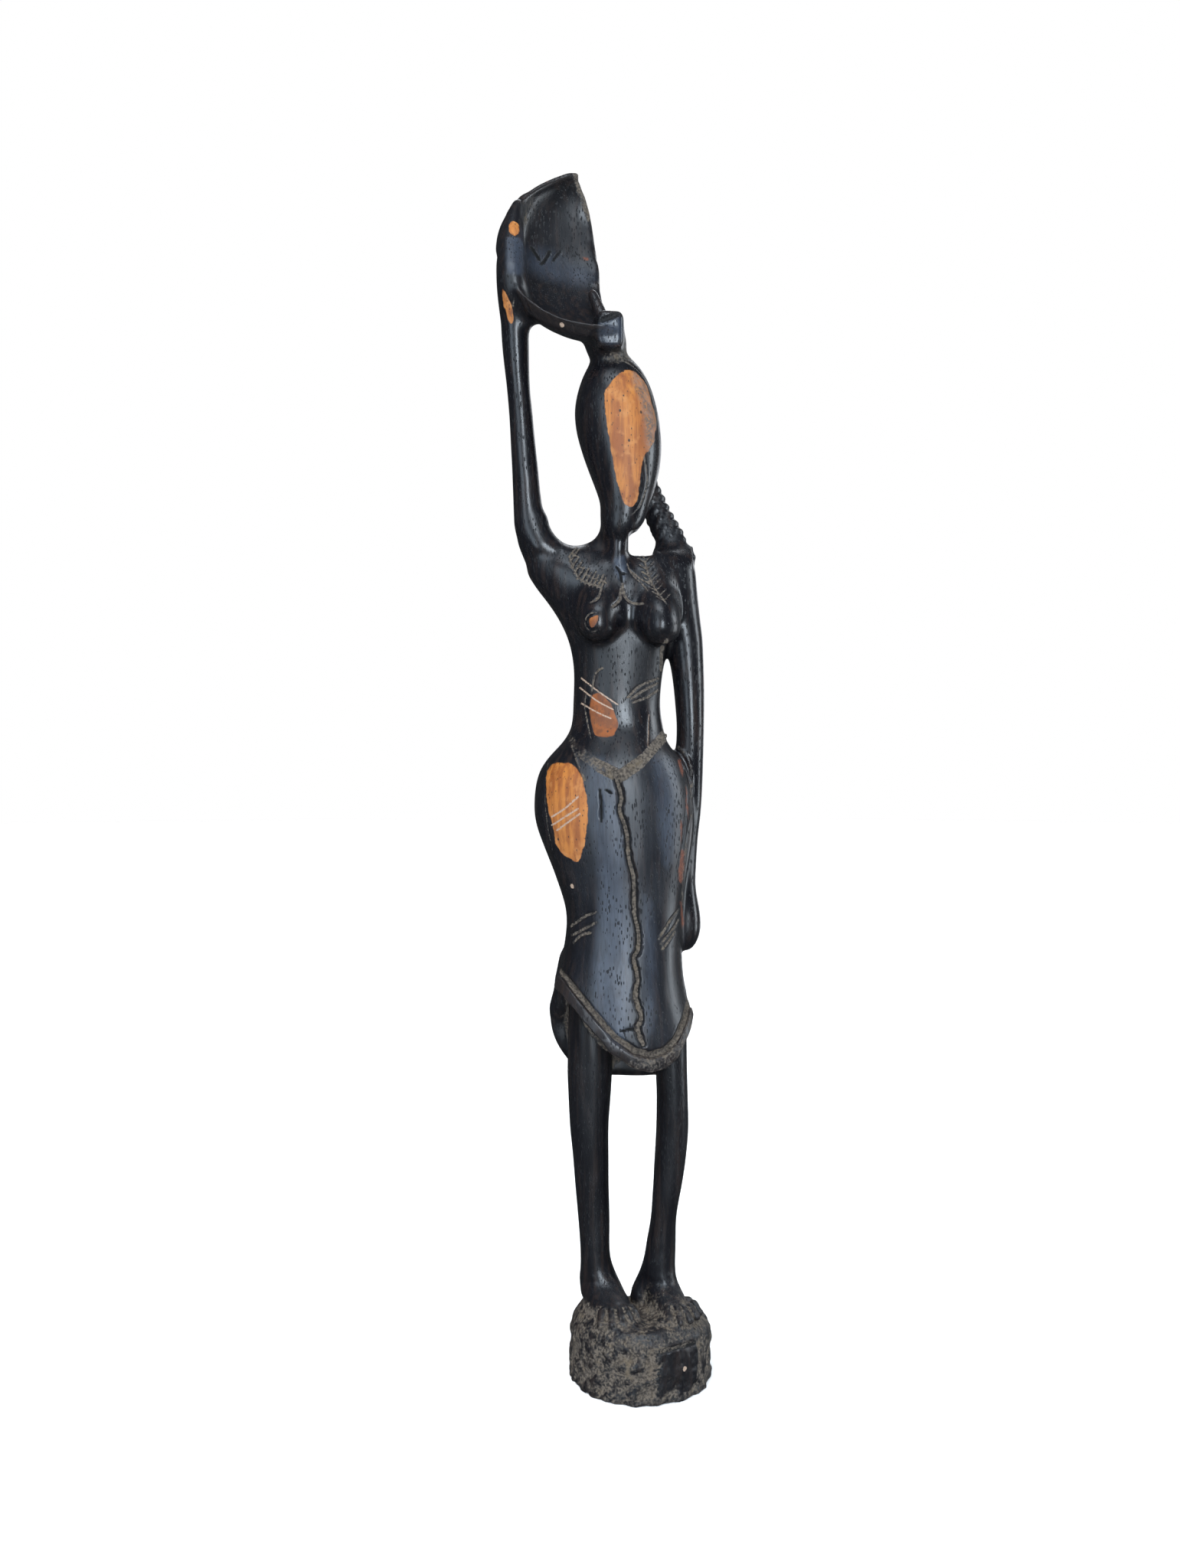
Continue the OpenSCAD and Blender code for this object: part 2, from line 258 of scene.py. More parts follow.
def triangles_of(cad):
    mesh = cad.data
    mesh.calc_loop_triangles()
    points = np.empty(len(mesh.vertices) * 3, np.float32)
    corners = np.empty(len(mesh.loop_triangles) * 3, np.int32)
    mesh.vertices.foreach_get("co", points)
    mesh.loop_triangles.foreach_get("vertices", corners)
    return points.reshape(-1, 3) * MM, corners.reshape(-1, 3).astype(np.uint32)


near = {}   # for each CAD node, its window of the grid and the distances to its solid there
for node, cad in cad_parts.items():
    points, triangles = triangles_of(cad)
    part = window(points.min(0), points.max(0), REACH)
    near[node] = (part, distances(points, {"triangles": triangles}, part))


def overlap(a, b):
    """The window that two windows share, or None."""
    both = tuple(slice(max(p.start, q.start), min(p.stop, q.stop)) for p, q in zip(a, b))
    return both if all(s.start < s.stop for s in both) else None


def within(part, outer):
    """A window, counted from the start of another that holds it."""
    return tuple(slice(s.start - o.start, s.stop - o.start) for s, o in zip(part, outer))


def distance_to(node, part):
    """Distances to a CAD solid on any window; REACH stands for all that is further off."""
    own, values = near[node]
    result = np.full(shape_of(part), REACH, np.float32)
    both = overlap(own, part)
    if both:
        result[within(both, part)] = values[within(both, own)]
    return result


def scoop(node, a, b, radius):
    """Takes a round-bottomed gouge out of a CAD solid, along the line from a to b."""
    own, values = near[node]
    both = overlap(window(np.minimum(a, b), np.maximum(a, b), radius + VOXEL), own)
    if both:
        inside = within(both, own)
        gap, _ = distance_to_path(*axes(both), np.array([a, b]))
        values[inside] = np.maximum(values[inside], radius - gap)


def at(node, right, back, up):
    """A place in millimetres, from fractions of a CAD node's box in x, y and z."""
    low, high = mm_box(node)
    return low + (high - low) * np.array([right, back, up])


def rising(node, axis, start, end, value):
    """From 0 to 1 as value passes from one fraction of a node's box to another."""
    low, high = (corner[axis] for corner in mm_box(node))
    return smooth_step(low + (high - low) * start, low + (high - low) * end, value)


def level(angle):
    """A level direction at an angle from +X, and the one a quarter turn to its left."""
    ahead = np.array([math.cos(angle), math.sin(angle), 0])
    return ahead, np.array([-ahead[1], ahead[0], 0])


PLINTH_FALL = 0.40         # slope of the plinth's top behind the heels
PLINTH_SIDE_FALL = 1.2     # and at its edge beside her left foot
FACET_ANGLE = 5.22         # direction of the plinth's one smooth facet, in radians from +X
SIDE_GOUGES = 260          # how many cuts rough out its side
TOP_GOUGES = 90            # and its top


def chisel_plinth():
    """The plinth slopes away behind the heels, and is roughed out with a gouge all over."""
    low, high = mm_box("plinth")
    part, values = near["plinth"]
    x, y, z = axes(part)
    fall = z - high[2] + PLINTH_FALL * np.maximum(y - at("plinth", 0, 0.60, 0)[1], 0)
    fall = fall + PLINTH_SIDE_FALL * np.maximum(x - at("plinth", 0.87, 0, 0)[0], 0)
    values[:] = np.maximum(values, fall)
    middle, half = (low + high) / 2, (high - low) / 2
    random = np.random.default_rng(5)
    for _ in range(SIDE_GOUGES):
        angle = random.uniform(0, 2 * math.pi)
        outward, sideways = level(angle)
        height = random.uniform(-0.9, 0.9)
        spot = middle + outward * half + np.array([0, 0, height * half[2]])
        lean = random.normal(0.5, 0.45)
        stroke = (sideways * math.sin(lean) + np.array([0, 0, math.cos(lean)])) * random.uniform(1.0, 3.0)
        radius = random.uniform(1.6, 4.2)
        centre = spot + outward * (radius - random.uniform(0.35, 0.95))
        on_facet = abs(angle - FACET_ANGLE) < 0.42 and abs(height) < 0.6
        if not on_facet:
            scoop("plinth", centre - stroke, centre + stroke, radius)
    for _ in range(TOP_GOUGES):
        angle = random.uniform(0, 2 * math.pi)
        out = math.sqrt(random.uniform(0.15, 1)) * 0.95
        spot = middle + half * np.array([math.cos(angle) * out, math.sin(angle) * out, 1])
        stroke = level(random.uniform(0, math.pi))[0] * random.uniform(1, 3)
        radius = random.uniform(1.6, 3.4)
        centre = spot + np.array([0, 0, radius - random.uniform(0.15, 0.65)])
        scoop("plinth", centre - stroke, centre + stroke, radius)


def lower_dish_foot():
    """The foot of the dish stops short, a little below the dish's broken edge."""
    part, values = near["dish_foot"]
    values[:] = np.maximum(values, axes(part)[2] - at("dish_foot", 0, 0, 0.75)[2])


DISH_CENTRE = (0.9555, 0.4085, 0.5159)   # middle of its opening, as fractions of the bowl's box
DISH_TILT = 25                           # degrees that the opening leans back
DISH_INSIDE = (34.5, 15.5)               # radius and depth of its hollow
RIM_RADIUS = 35.4
SPLINTERED = 3.5                         # the splinters start this far in from the broken edge


def thin_rim():
    """The dish's rim comes to a thin edge, bevelled outside along its lower half."""
    part, values = near["bowl"]
    x, y, z = (axis - c for axis, c in zip(axes(part), at("bowl", *DISH_CENTRE)))
    lean = math.radians(90 - DISH_TILT)
    up = y * math.cos(lean) + z * math.sin(lean)
    out = z * math.cos(lean) - y * math.sin(lean)
    radial = np.sqrt(x ** 2 + up ** 2)
    values[:] = np.maximum(values, -ellipsoid((radial, out), DISH_INSIDE))
    bevel = (radial - RIM_RADIUS + 0.22 * np.minimum(out, 0)) * smooth_step(0, -9, up)
    values[:] = np.maximum(values, np.where(up < 0, bevel, -REACH))


def splinter_dish():
    """The dish broke along the grain, which left upright splinters on the broken edge."""
    part, values = near["bowl"]
    spread = np.broadcast_arrays(*axes(part))
    edge = np.where(values < 0, spread[0], -np.inf).max(axis=(0, 1))[None, None, :]
    close = np.nonzero((np.abs(values) < 2) & (spread[0] > edge - SPLINTERED))
    x, y, z = (axis[close] for axis in spread)
    depth = np.clip(1 - (np.broadcast_to(edge, values.shape)[close] - x) / SPLINTERED, 0, 1)
    fibres = lumps(x, y, z, (50.0, 1.1, 7.0), 11) + 0.6 * lumps(x, y, z, (50.0, 0.6, 2.6), 12)
    values[close] += depth * (0.35 + 0.55 * fibres)


KNOT_STEP = 3.5    # length of one knot of the plait


def braid_plait():
    """The plait's outer edge is a row of small knots, and strands cross its face."""
    part, values = near["hair_plait"]
    x, y, z = axes(part)
    edge = np.where(values < 0, x, -np.inf).max(axis=(0, 1))
    known = np.nonzero(np.isfinite(edge))[0]
    edge = np.interp(np.arange(len(edge)), known, edge[known])
    length = np.concatenate([[0], np.cumsum(np.hypot(np.diff(edge), VOXEL))])
    edge, length = (a.astype(np.float32)[None, None, :] for a in (edge, length))
    close = np.nonzero(np.abs(values) < 2.5)
    inward, along, height = (np.broadcast_to(a, values.shape)[close] for a in (edge - x, length + 0 * x, z))
    knots = np.abs(np.sin(along * math.pi / KNOT_STEP))
    outer = smooth_step(2.6, 0.6, inward)
    strands = np.maximum(np.cos((along + inward * 1.1) * 2 * math.pi / KNOT_STEP),
                         np.cos((along - inward * 1.1) * 2 * math.pi / KNOT_STEP))
    grown = 1 - 0.7 * rising("hair_plait", 2, 0.55, 0.80, height)
    raised = (1 - outer) * 0.35 * smooth_step(0.4, 1, strands)
    values[close] += grown * outer * (0.65 - 1.05 * knots ** 0.7) + raised


chisel_plinth()
lower_dish_foot()
thin_rim()
splinter_dish()
braid_plait()

# ---------------------------------------------------------------- one form

BANDS = ("skirt_hem", "waistband")    # these stay crisp, and are added after the smoothing
FINE = ("bowl", "raised_hand", "dish_foot")
CRISP = ("right_foot", "left_foot", "hair_plait", "plinth")
SEAL = 0.1       # closes the joints between solids that only touch
FILLET = 3.0     # radius left by the gouge where limbs meet
JOINTS = [("neck", "head"), ("neck", "torso"), ("raised_arm", "torso"), ("dish_foot", "head"),
          ("dish_foot", "bowl"), ("raised_hand", "bowl"), ("raised_arm", "bowl"),
          ("right_leg", "right_foot"), ("left_leg", "left_foot"), ("hair_plait", "hanging_arm"),
          ("hair_plait", "torso"), ("right_foot", "plinth"), ("left_foot", "plinth"),
          ("skirt", "skirt_back")]

form = np.full(tuple(grid_shape), REACH, np.float32)
for node, (part, values) in near.items():
    if node not in BANDS:
        form[part] = np.minimum(form[part], values)
form = resurfaced(form, SEAL) + np.float32(SEAL)
filled = resurfaced(form, FILLET) + np.float32(FILLET)
for a, b in JOINTS:
    low = np.maximum(mm_box(a)[0], mm_box(b)[0])
    high = np.minimum(mm_box(a)[1], mm_box(b)[1])
    part = window(low, high, REACH)
    both = np.maximum(distance_to(a, part), distance_to(b, part))
    share = smooth_step(REACH - 0.3, REACH - 2, both)
    form[part] += share * (filled[part] - form[part])
del filled


def around(points, room):
    return window(np.min(points, axis=0), np.max(points, axis=0), room)


def add(part, solid, blend):
    """Joins a solid to a window of the form, and fills the crease between them."""
    form[part] = joined(form[part], solid.astype(np.float32), blend)


def add_cone(start, end, start_radius, end_radius, blend):
    """Adds a round-ended cone."""
    part = around([start, end], max(start_radius, end_radius) + blend + 1)
    gap, along = distance_to_path(*axes(part), np.array([start, end]))
    add(part, gap - (start_radius + (end_radius - start_radius) * along), blend)


def add_cone_at(node, start, end, *sizes):
    """Adds a cone between two places given as fractions of a CAD node's box."""
    add_cone(at(node, *start), at(node, *end), *sizes)


def add_ellipsoid(centre, radii, blend):
    part = around([centre - radii, centre + radii], blend + 1)
    add(part, ellipsoid([axis - c for axis, c in zip(axes(part), centre)], radii), blend)


def add_box(centre, half, rounding, blend):
    part = around([centre - half, centre + half], blend + 1)
    gaps = [np.abs(axis - c) - h + rounding for axis, c, h in zip(axes(part), centre, half)]
    outside = np.sqrt(sum(np.maximum(gap, 0) ** 2 for gap in gaps))
    inside = np.minimum(np.maximum(np.maximum(gaps[0], gaps[1]), gaps[2]), 0)
    add(part, outside + inside - rounding, blend)


def sweep_shoulder():
    """The shoulder rises in one round sweep from the neck to the raised arm."""
    centre = at("torso", 0.356, 0.62, 1.153)
    radius, half_depth, rounding = 9.3, 5.2, 4.2
    part = around([centre - [10.5, 6, 15], centre + [9.5, 6, 0]], 1)
    x, y, z = (axis - c for axis, c in zip(axes(part), centre))
    add(part, rounded_edge(radius - np.hypot(x, z), np.abs(y) - half_depth, rounding), 1.5)


def add_breasts():
    """Each breast is a cone that slopes down from the collar to its tip."""
    for right, tip in ((0.519, (0.490, 0.215, 0.664)), (0.831, (0.868, 0.215, 0.651))):
        top, tip = at("torso", right, 0.55, 0.90), at("torso", *tip)
        add_cone(top, tip, 5.6, 5.0, 4.0)
        add_cone(tip - [0, 3, 0.4], tip - [0, 5.9, 1.0], 2.6, 0.8, 2.0)


def block_under_dish():
    """The stub under the dish is a squared block that stands forward of a round one."""
    add_ellipsoid(at("dish_foot", 0.52, 0.40, 0.20), (5.8, 6.6, 5.6), 2.5)
    add_box(at("dish_foot", 0.60, 0.17, 0.28), (4.2, 6.0, 5.8), 1.3, 1.6)


TOES = {"right_foot": (0.638, 0.266, 18), "left_foot": (0.700, 0.300, 30)}   # ball, and turn in degrees
TOE_SPREAD = 12    # degrees from one toe to the next


def add_toes():
    """Five toes fan out from the front of each foot."""
    for foot, (across, back, turn) in TOES.items():
        ball = at(foot, across, back, 0)
        for toe in range(5):
            sideways, backward = level(math.radians(turn + TOE_SPREAD * (toe - 2)))
            root = ball + sideways * (toe - 2) * 2.2 - backward * 2.0 + [0, 0, 2.6]
            tip = ball + sideways * (toe - 2) * 2.3 - backward * (6.0 - 0.45 * toe) + [0, 0, 0.7]
            add_cone(root, tip, 1.55, 1.25, 0.5)


sweep_shoulder()
# The insides of the feet widen into the plinth below the ankles, and almost meet.
add_cone_at("left_foot", (0.37, 0.78, 1.11), (-0.03, 0.74, 0.20), 3.2, 3.5, 1.8)
add_cone_at("right_foot", (0.43, 0.72, 0.74), (0.68, 0.47, 0.22), 3.1, 3.0, 1.5)
# At her right side the skirt flares smoothly into the back panel.
add_cone_at("skirt_back", (0.150, -0.24, 1.20), (0.090, 0.0, 0.70), 2.9, 3.1, 3.0)
# The throat runs down into the chest.
add_cone_at("torso", (0.609, 0.511, 1.137), (0.621, 0.325, 0.870), 4.4, 2.3, 3.0)
add_breasts()
block_under_dish()
# The dish's lower edge runs into the block, and its upper edge into the fingers.
add_cone_at("bowl", (0.817, 0.521, 0.319), (0.906, 0.434, 0.168), 1.8, 2.4, 1.5)
add_cone_at("raised_hand", (0.40, 0.90, 0.893), (0.67, 1.015, 1.043), 1.7, 1.3, 3.0)


def nearness(nodes, start, end):
    """From 1 near these CAD solids to 0 away from them."""
    result = np.zeros(tuple(grid_shape), np.float32)
    for name in nodes:
        own, distance = near[name]
        result[own] = np.maximum(result[own], smooth_step(start, end, distance))
    return result


worn = relaxed(form, 1.5)
for nodes, width in ((FINE, 0.8), (CRISP, 0.4)):
    worn += nearness(nodes, 3.5, 0.8) * (relaxed(form, width) - worn)
form = worn
del worn


def lower_left_shoulder():
    """Between the neck and the plait the shoulder is cut a little lower, with round corners."""
    centre = at("torso", 0.757, 0.5, 1.019)
    half_wide, half_high, rounding = 4.1, 3.7, 1.8
    part = window(centre - [7, 22, 6], centre + [7, 22, 6])
    x, _, z = axes(part)
    opening = rounded_edge(np.abs(x - centre[0]) - half_wide, np.abs(z - centre[2]) - half_high, rounding)
    form[part] = -joined(-form[part], opening.astype(np.float32), 1.0)


def soften(low, high, width, swell, share):
    """Blurs a window of the form by share(x, y, z), and swells it by what the blur takes off."""
    part = window(np.array(low), np.array(high))
    blur = blurred(form[part], width) - np.float32(swell)
    form[part] += share(*axes(part)).astype(np.float32) * (blur - form[part])


def soften_plait_foot():
    """The plait runs down into the shoulder without a ledge."""
    corner = at("torso", 0.90, 0.55, 1.0)
    soften(corner - [8, 12, 8], corner + [9, 10, 8], 2.6, 0.35, lambda x, y, z: (
        smooth_step(corner[0] - 3.5, corner[0] - 0.5, x) * smooth_step(7.5, 3.5, np.abs(z - corner[2]))))


def soften_ankles():
    """Each leg runs smoothly into its foot."""
    for leg, foot in (("right_leg", "right_foot"), ("left_leg", "left_foot")):
        low, high = mm_box(leg)
        ankle = mm_box(foot)[1][2]
        soften([low[0] - 4, low[1] - 6, ankle - 9], [high[0] + 4, high[1] + 4, ankle + 9], 2.4, 0.45,
               lambda x, y, z: smooth_step(7.5, 3, np.abs(z - ankle)))


def soften_chest():
    """The breasts run into the chest above and beside them, with a crease only below."""
    low, high = mm_box("torso")
    crease = at("torso", 0, 0, 0.60)[2]
    front = at("torso", 0, 0.36, 0)[1]
    soften([low[0], low[1] - 4, crease - 2], [high[0] + 2, front + 4, high[2]], 2.2, 0.25, lambda x, y, z: (
        span(z, crease, crease + 7, high[2] - 8, high[2] - 2) * smooth_step(front + 3, front, y)))


def soften_shoulder():
    """The outside of the shoulder is one curve from the raised arm to the chest."""
    corner = at("torso", 0.0, 0.60, 1.0)
    soften(corner - 11, corner + 11, 3.0, 0.35, lambda x, y, z: smooth_step(10, 4, np.sqrt(
        (x - corner[0]) ** 2 + (y - corner[1]) ** 2 + (z - corner[2]) ** 2)))


lower_left_shoulder()
soften_plait_foot()
soften_ankles()
soften_chest()
soften_shoulder()
add_toes()


def places(part, chosen):
    """x, y and z of chosen grid points of a window."""
    return (axis.reshape(-1)[index] for axis, index in zip(axes(part), chosen))


def displace(part, amount, reach=2.0):
    """Moves the skin inwards by amount(x, y, z) where a window lies near it."""
    values = form[part]
    close = np.nonzero(np.abs(values) < reach)
    values[close] += amount(*places(part, close))


def hand_finish():
    """A knife and sandpaper leave shallow waves in the polished wood, longer along the grain."""
    top = mm_box("plinth")[1][2]

    def amount(x, y, z):
        uneven = 0.10 * lumps(x, y, z, (6.0, 6.0, 11.0), 21) + 0.03 * lumps(x, y, z, (2.2, 2.2, 6.0), 22)
        rough = 0.26 * lumps(x, y, z, 2.4, 23) + 0.20 * lumps(x, y, z, 1.2, 24)
        share = smooth_step(top + 7, top + 1, z)
        return uneven + share * (rough - uneven)

    displace(WHOLE, amount)


HEM_GROOVE_AT = 1.3      # distance of the groove's middle from the hem's band
HEM_GROOVE_DEEP = 0.95
HEM_FADE = 2.3           # the hem sinks this far into the skirt at its two ends


def roll_hem():
    """The hem is a smooth roll, with a dusty groove cut along its upper side."""
    part = window(*mm_box("skirt_hem"), 5)
    spread = np.broadcast_arrays(*axes(part))
    band = distance_to("skirt_hem", part)
    fade = smooth_step(-8.0, 3.0, spread[1]) * HEM_FADE
    add(part, blurred(band, 0.55) - 0.42 + fade + 0.16 * lumps(*spread, 3.4, 33), 0.6)
    above = np.roll(band, 2, axis=2) < band
    ragged = HEM_GROOVE_DEEP * (1 + 0.45 * lumps(*spread, 1.5, 34))
    groove = smooth_step(1.3, 0.3, np.abs(band - HEM_GROOVE_AT)) * above * (1 - fade / HEM_FADE)
    close = np.abs(form[part]) < 2.5
    form[part] += np.where(close, groove * ragged, 0).astype(np.float32)
    return part, groove.astype(np.float32)


def rough_waistband():
    """The waistband is a flat, finely chopped ridge, narrower towards her right side."""
    part = window(*mm_box("waistband"), 3)
    band = distance_to("waistband", part)
    middle = at("waistband", 0.42, 0, 0)[0]
    close = np.nonzero(band < 2.5)
    x, y, z = places(part, close)
    chopped = 0.34 * lumps(x, y, z, 1.3, 31) + 0.16 * lumps(x, y, z, 0.7, 32)
    thin = 0.75 * smooth_step(middle, middle - 9, x)
    behind = 0.35 * smooth_step(-4, 2, y)
    band[close] += chopped + 0.42 + thin + behind
    add(part, band, 0.5)


hand_finish()
hem_groove = roll_hem()
rough_waistband()
form = np.maximum(form, (whole_low[2] - axes(WHOLE)[2]).astype(np.float32))

# ---------------------------------------------------------------- cuts

FACINGS = {"front": (1, 1), "back": (1, -1), "right": (0, 1), "left": (0, -1), "top": (2, -1)}


def spots(node, facing, fractions):
    """Places on the skin, from fractions of a CAD node's box as seen from one side."""
    low, high = mm_box(node)
    axis, way = FACINGS[facing]
    across, up = (a for a in range(3) if a != axis)
    fractions = np.asarray(fractions, float)
    starts = np.empty((len(fractions), 3))
    starts[:, across] = low[across] + (high - low)[across] * fractions[:, 0]
    starts[:, up] = low[up] + (high - low)[up] * fractions[:, 1]
    starts[:, axis] = (whole_low if way > 0 else whole_high)[axis] - 2 * way
    step = VOXEL / 2
    count = int((whole_high - whole_low)[axis] / step) + 4
    if facing == "top":    # from just above the node, so that nothing over it is met first
        starts[:, axis] = high[axis] + 4
        count = int((high - low)[axis] / step) + 40
    direction = np.zeros(3)
    direction[axis] = way * step
    line = starts[:, None, :] + np.arange(count)[None, :, None] * direction
    values = sample(form, WHOLE, line.reshape(-1, 3)).reshape(len(fractions), count)
    inside = values < 0
    first = np.where(inside.any(axis=1), inside.argmax(axis=1), values.argmin(axis=1))
    first = np.maximum(first, 1)
    rows = np.arange(len(fractions))
    before, after = values[rows, first - 1], values[rows, first]
    share = np.clip(before / np.where(before == after, 1, before - after), 0, 1)
    return line[rows, first - 1] + share[:, None] * direction


cuts = []   # every cut line, kept for the dust and the bare wood that show in it


# Cuts can have their insides painted near black, as painted shade.
def cut(node, points, width, depth, dust=0.0, pale=0.0, dark=0.0, ragged=0.0, flat=1.0, taper=0.2,
        fill=0.8, facing="front"):
    """
    Cuts a groove along a line, or raises a ridge where depth is below zero. Flat above 1 gives it a
    level floor, taper thins its ends, and fill is the share of its width that dust covers.
    """
    path = spots(node, facing, curved(points))
    part = around(path, width + abs(depth) + 1)
    seed = 100 + len(cuts)

    def amount(x, y, z):
        gap, along = distance_to_path(x, y, z, path)
        if ragged:
            gap = gap + ragged * lumps(x, y, z, 1.2, seed)
        ends = np.minimum(along, 1 - along)
        thin = smooth_step(-0.02, taper, ends)
        round_cut = np.clip(1 - (gap / (width / 2)) ** 2, 0, 1)
        return depth * np.minimum(1, round_cut * flat) * thin

    displace(part, amount, abs(depth) + 1.5)
    cuts.append((path, width, FACINGS[facing][0], dust, pale, dark, fill))


def cut_each(node, lines, *sizes, **marks):
    """Cuts several lines of one kind."""
    for line in lines:
        cut(node, line, *sizes, **marks)


# The drying crack that splits the front of the skirt, its branch and two shorter ones.
# Their insides are painted near black, as painted shade.
cut("skirt", [(0.50, 0.87), (0.54, 0.80), (0.53, 0.76), (0.57, 0.70), (0.585, 0.62), (0.615, 0.56),
    (0.62, 0.46), (0.645, 0.40), (0.64, 0.35), (0.615, 0.325), (0.64, 0.27), (0.625, 0.22), (0.66, 0.16),
    (0.64, 0.125), (0.67, 0.08)], 2.0, 1.8, dust=1.0, dark=1.0, ragged=0.34, flat=2.4, taper=0.05,
    fill=0.55)
cut("skirt", [(0.54, 0.12), (0.60, 0.125), (0.63, 0.12)], 0.9, 0.7, dark=1.0, ragged=0.15)
cut("skirt", [(0.41, 0.82), (0.42, 0.78), (0.42, 0.73)], 1.0, 1.1, dark=1.0, ragged=0.2)
cut("skirt", [(0.45, 0.82), (0.48, 0.81)], 0.9, 0.7, dark=1.0, ragged=0.2)

# Three strokes side by side mark the waist, the thighs and, as scratches, the bare wood.
cut_each("skirt", [
    [(0.23, 0.41), (0.32, 0.445), (0.39, 0.46)],
    [(0.24, 0.385), (0.32, 0.41), (0.39, 0.43)],
    [(0.25, 0.365), (0.30, 0.39), (0.36, 0.40)],
    [(0.77, 0.38), (0.84, 0.43), (0.90, 0.46)],
    [(0.78, 0.365), (0.85, 0.40), (0.90, 0.43)],
    [(0.79, 0.35), (0.83, 0.37), (0.88, 0.40)]], 1.3, 0.75, dust=0.5, dark=0.4)
cut_each("torso", [
    [(0.67, 0.34), (0.74, 0.39), (0.86, 0.43)],
    [(0.69, 0.335), (0.76, 0.37), (0.86, 0.41)],
    [(0.70, 0.32), (0.79, 0.345), (0.86, 0.38)]], 1.1, 0.45, dust=0.8)
cut_each("skirt", [
    [(0.12, 0.74), (0.20, 0.765), (0.28, 0.80)],
    [(0.12, 0.715), (0.20, 0.74), (0.28, 0.765)],
    [(0.15, 0.70), (0.22, 0.725), (0.29, 0.75)]], 1.0, 0.25, pale=0.8, ragged=0.10)
cut_each("torso", [
    [(0.39, 0.43), (0.49, 0.37), (0.61, 0.31)],
    [(0.38, 0.39), (0.48, 0.33), (0.58, 0.29)],
    [(0.39, 0.32), (0.48, 0.28), (0.57, 0.25)]], 0.85, 0.2, pale=0.75, ragged=0.08)

# Lines scratched round the belly, below the arm and along the edges of the wrap.
cut("torso", [(0.52, 0.47), (0.48, 0.45), (0.46, 0.40), (0.45, 0.36)], 0.9, 0.25, dust=0.7)
cut("torso", [(0.42, 0.36), (0.41, 0.31), (0.42, 0.26), (0.44, 0.19), (0.45, 0.16)], 0.8, 0.2, dust=0.5)
cut("torso", [(0.90, 0.58), (0.88, 0.55), (0.88, 0.51), (0.88, 0.47)], 1.8, 0.4, dust=1.0, ragged=0.3)
cut("torso", [(0.80, 0.27), (0.795, 0.20), (0.79, 0.13)], 0.8, 0.2, pale=0.5)
cut("skirt", [(0.24, 0.95), (0.26, 0.92), (0.29, 0.88), (0.32, 0.85)], 1.2, -0.3, dust=0.7)
cut("skirt", [(0.09, 0.90), (0.075, 0.82), (0.09, 0.72), (0.12, 0.64)], 0.9, 0.15, dust=0.4)
cut("skirt", [(0.91, 0.95), (0.95, 0.93), (0.98, 0.90), (0.995, 0.86), (0.99, 0.76), (0.965, 0.70),
    (0.94, 0.63), (0.93, 0.55), (0.93, 0.47)], 1.6, -0.45, dust=0.55, taper=0.1)
cut("skirt", [(0.89, 0.93), (0.93, 0.90), (0.95, 0.85), (0.95, 0.78), (0.93, 0.70), (0.91, 0.62)], 1.2,
    0.5, taper=0.15)

# The incised collar: strokes rise from one line on her right, and barbs from another on her left.
collar_right = [(0.319, 0.966), (0.336, 0.915), (0.372, 0.864), (0.419, 0.838), (0.467, 0.825),
    (0.512, 0.812)]
cut("torso", collar_right, 0.85, 0.3, dust=0.85, ragged=0.15, taper=0.08)
for step, (u, v) in enumerate(curved(collar_right, 2)):
    reach = 1.0 if step % 2 else 0.8
    lean = 0.052 - 0.0022 * step
    cut("torso", [(u - 0.008, v - 0.008), (u + lean * reach, v + 0.056 * reach)], 0.75, 0.35, dust=0.95,
        ragged=0.10, taper=0.3)
    if step % 2:
        cut("torso", [(u + 0.012, v + 0.030), (u + 0.048, v + 0.016)], 0.7, 0.3, dust=0.8, taper=0.3)
collar_left = [(0.77, 0.96), (0.80, 0.87), (0.84, 0.80), (0.90, 0.735)]
cut("torso", collar_left, 0.8, 0.3, dust=0.7, ragged=0.2)
cut("torso", [(0.69, 0.89), (0.76, 0.85), (0.81, 0.84)], 0.9, 0.3, dust=0.6)
cut("torso", [(0.665, 0.925), (0.70, 0.875), (0.755, 0.835), (0.79, 0.80)], 0.8, 0.25, dust=0.6)
for u, v in curved(collar_left, 3)[:-1]:
    for side in (-1, 1):
        cut("torso", [(u, v), (u + side * 0.045, v + 0.028 + side * 0.008)], 0.7, 0.28, dust=0.6)

# Below the throat three dusty lines cross the chest, and a small crack forks.
cut_each("torso", [
    [(0.51, 0.81), (0.50, 0.78), (0.485, 0.757), (0.448, 0.742)],
    [(0.63, 0.82), (0.62, 0.76), (0.57, 0.72)],
    [(0.64, 0.83), (0.65, 0.78), (0.69, 0.75), (0.76, 0.74)]], 1.1, 0.35, dust=0.75)
# The forked crack is painted near black inside, as painted shade.
cut_each("torso", [
    [(0.600, 0.908), (0.624, 0.881), (0.633, 0.840)],
    [(0.624, 0.876), (0.652, 0.876)]], 1.0, 0.6, dark=1.0, ragged=0.2)

# A ring round the right nipple and a few lines round the head's edge.
ring = [(0.464 + 0.052 * math.cos(a), 0.655 + 0.040 * math.sin(a)) for a in np.linspace(1.3, 5.2, 7)]
cut("torso", ring, 0.9, 0.3, dust=0.5, taper=0.1)
cut("head", [(0.78, 0.39), (0.82, 0.28), (0.75, 0.16), (0.64, 0.10)], 0.9, 0.25, dust=0.6)
cut("head", [(0.51, 0.90), (0.69, 0.87), (0.85, 0.79), (0.92, 0.67), (0.93, 0.54)], 0.8, 0.2, dust=0.5)
cut("head", [(0.45, 0.945), (0.60, 0.93), (0.74, 0.885)], 0.8, 0.2, dust=0.4)
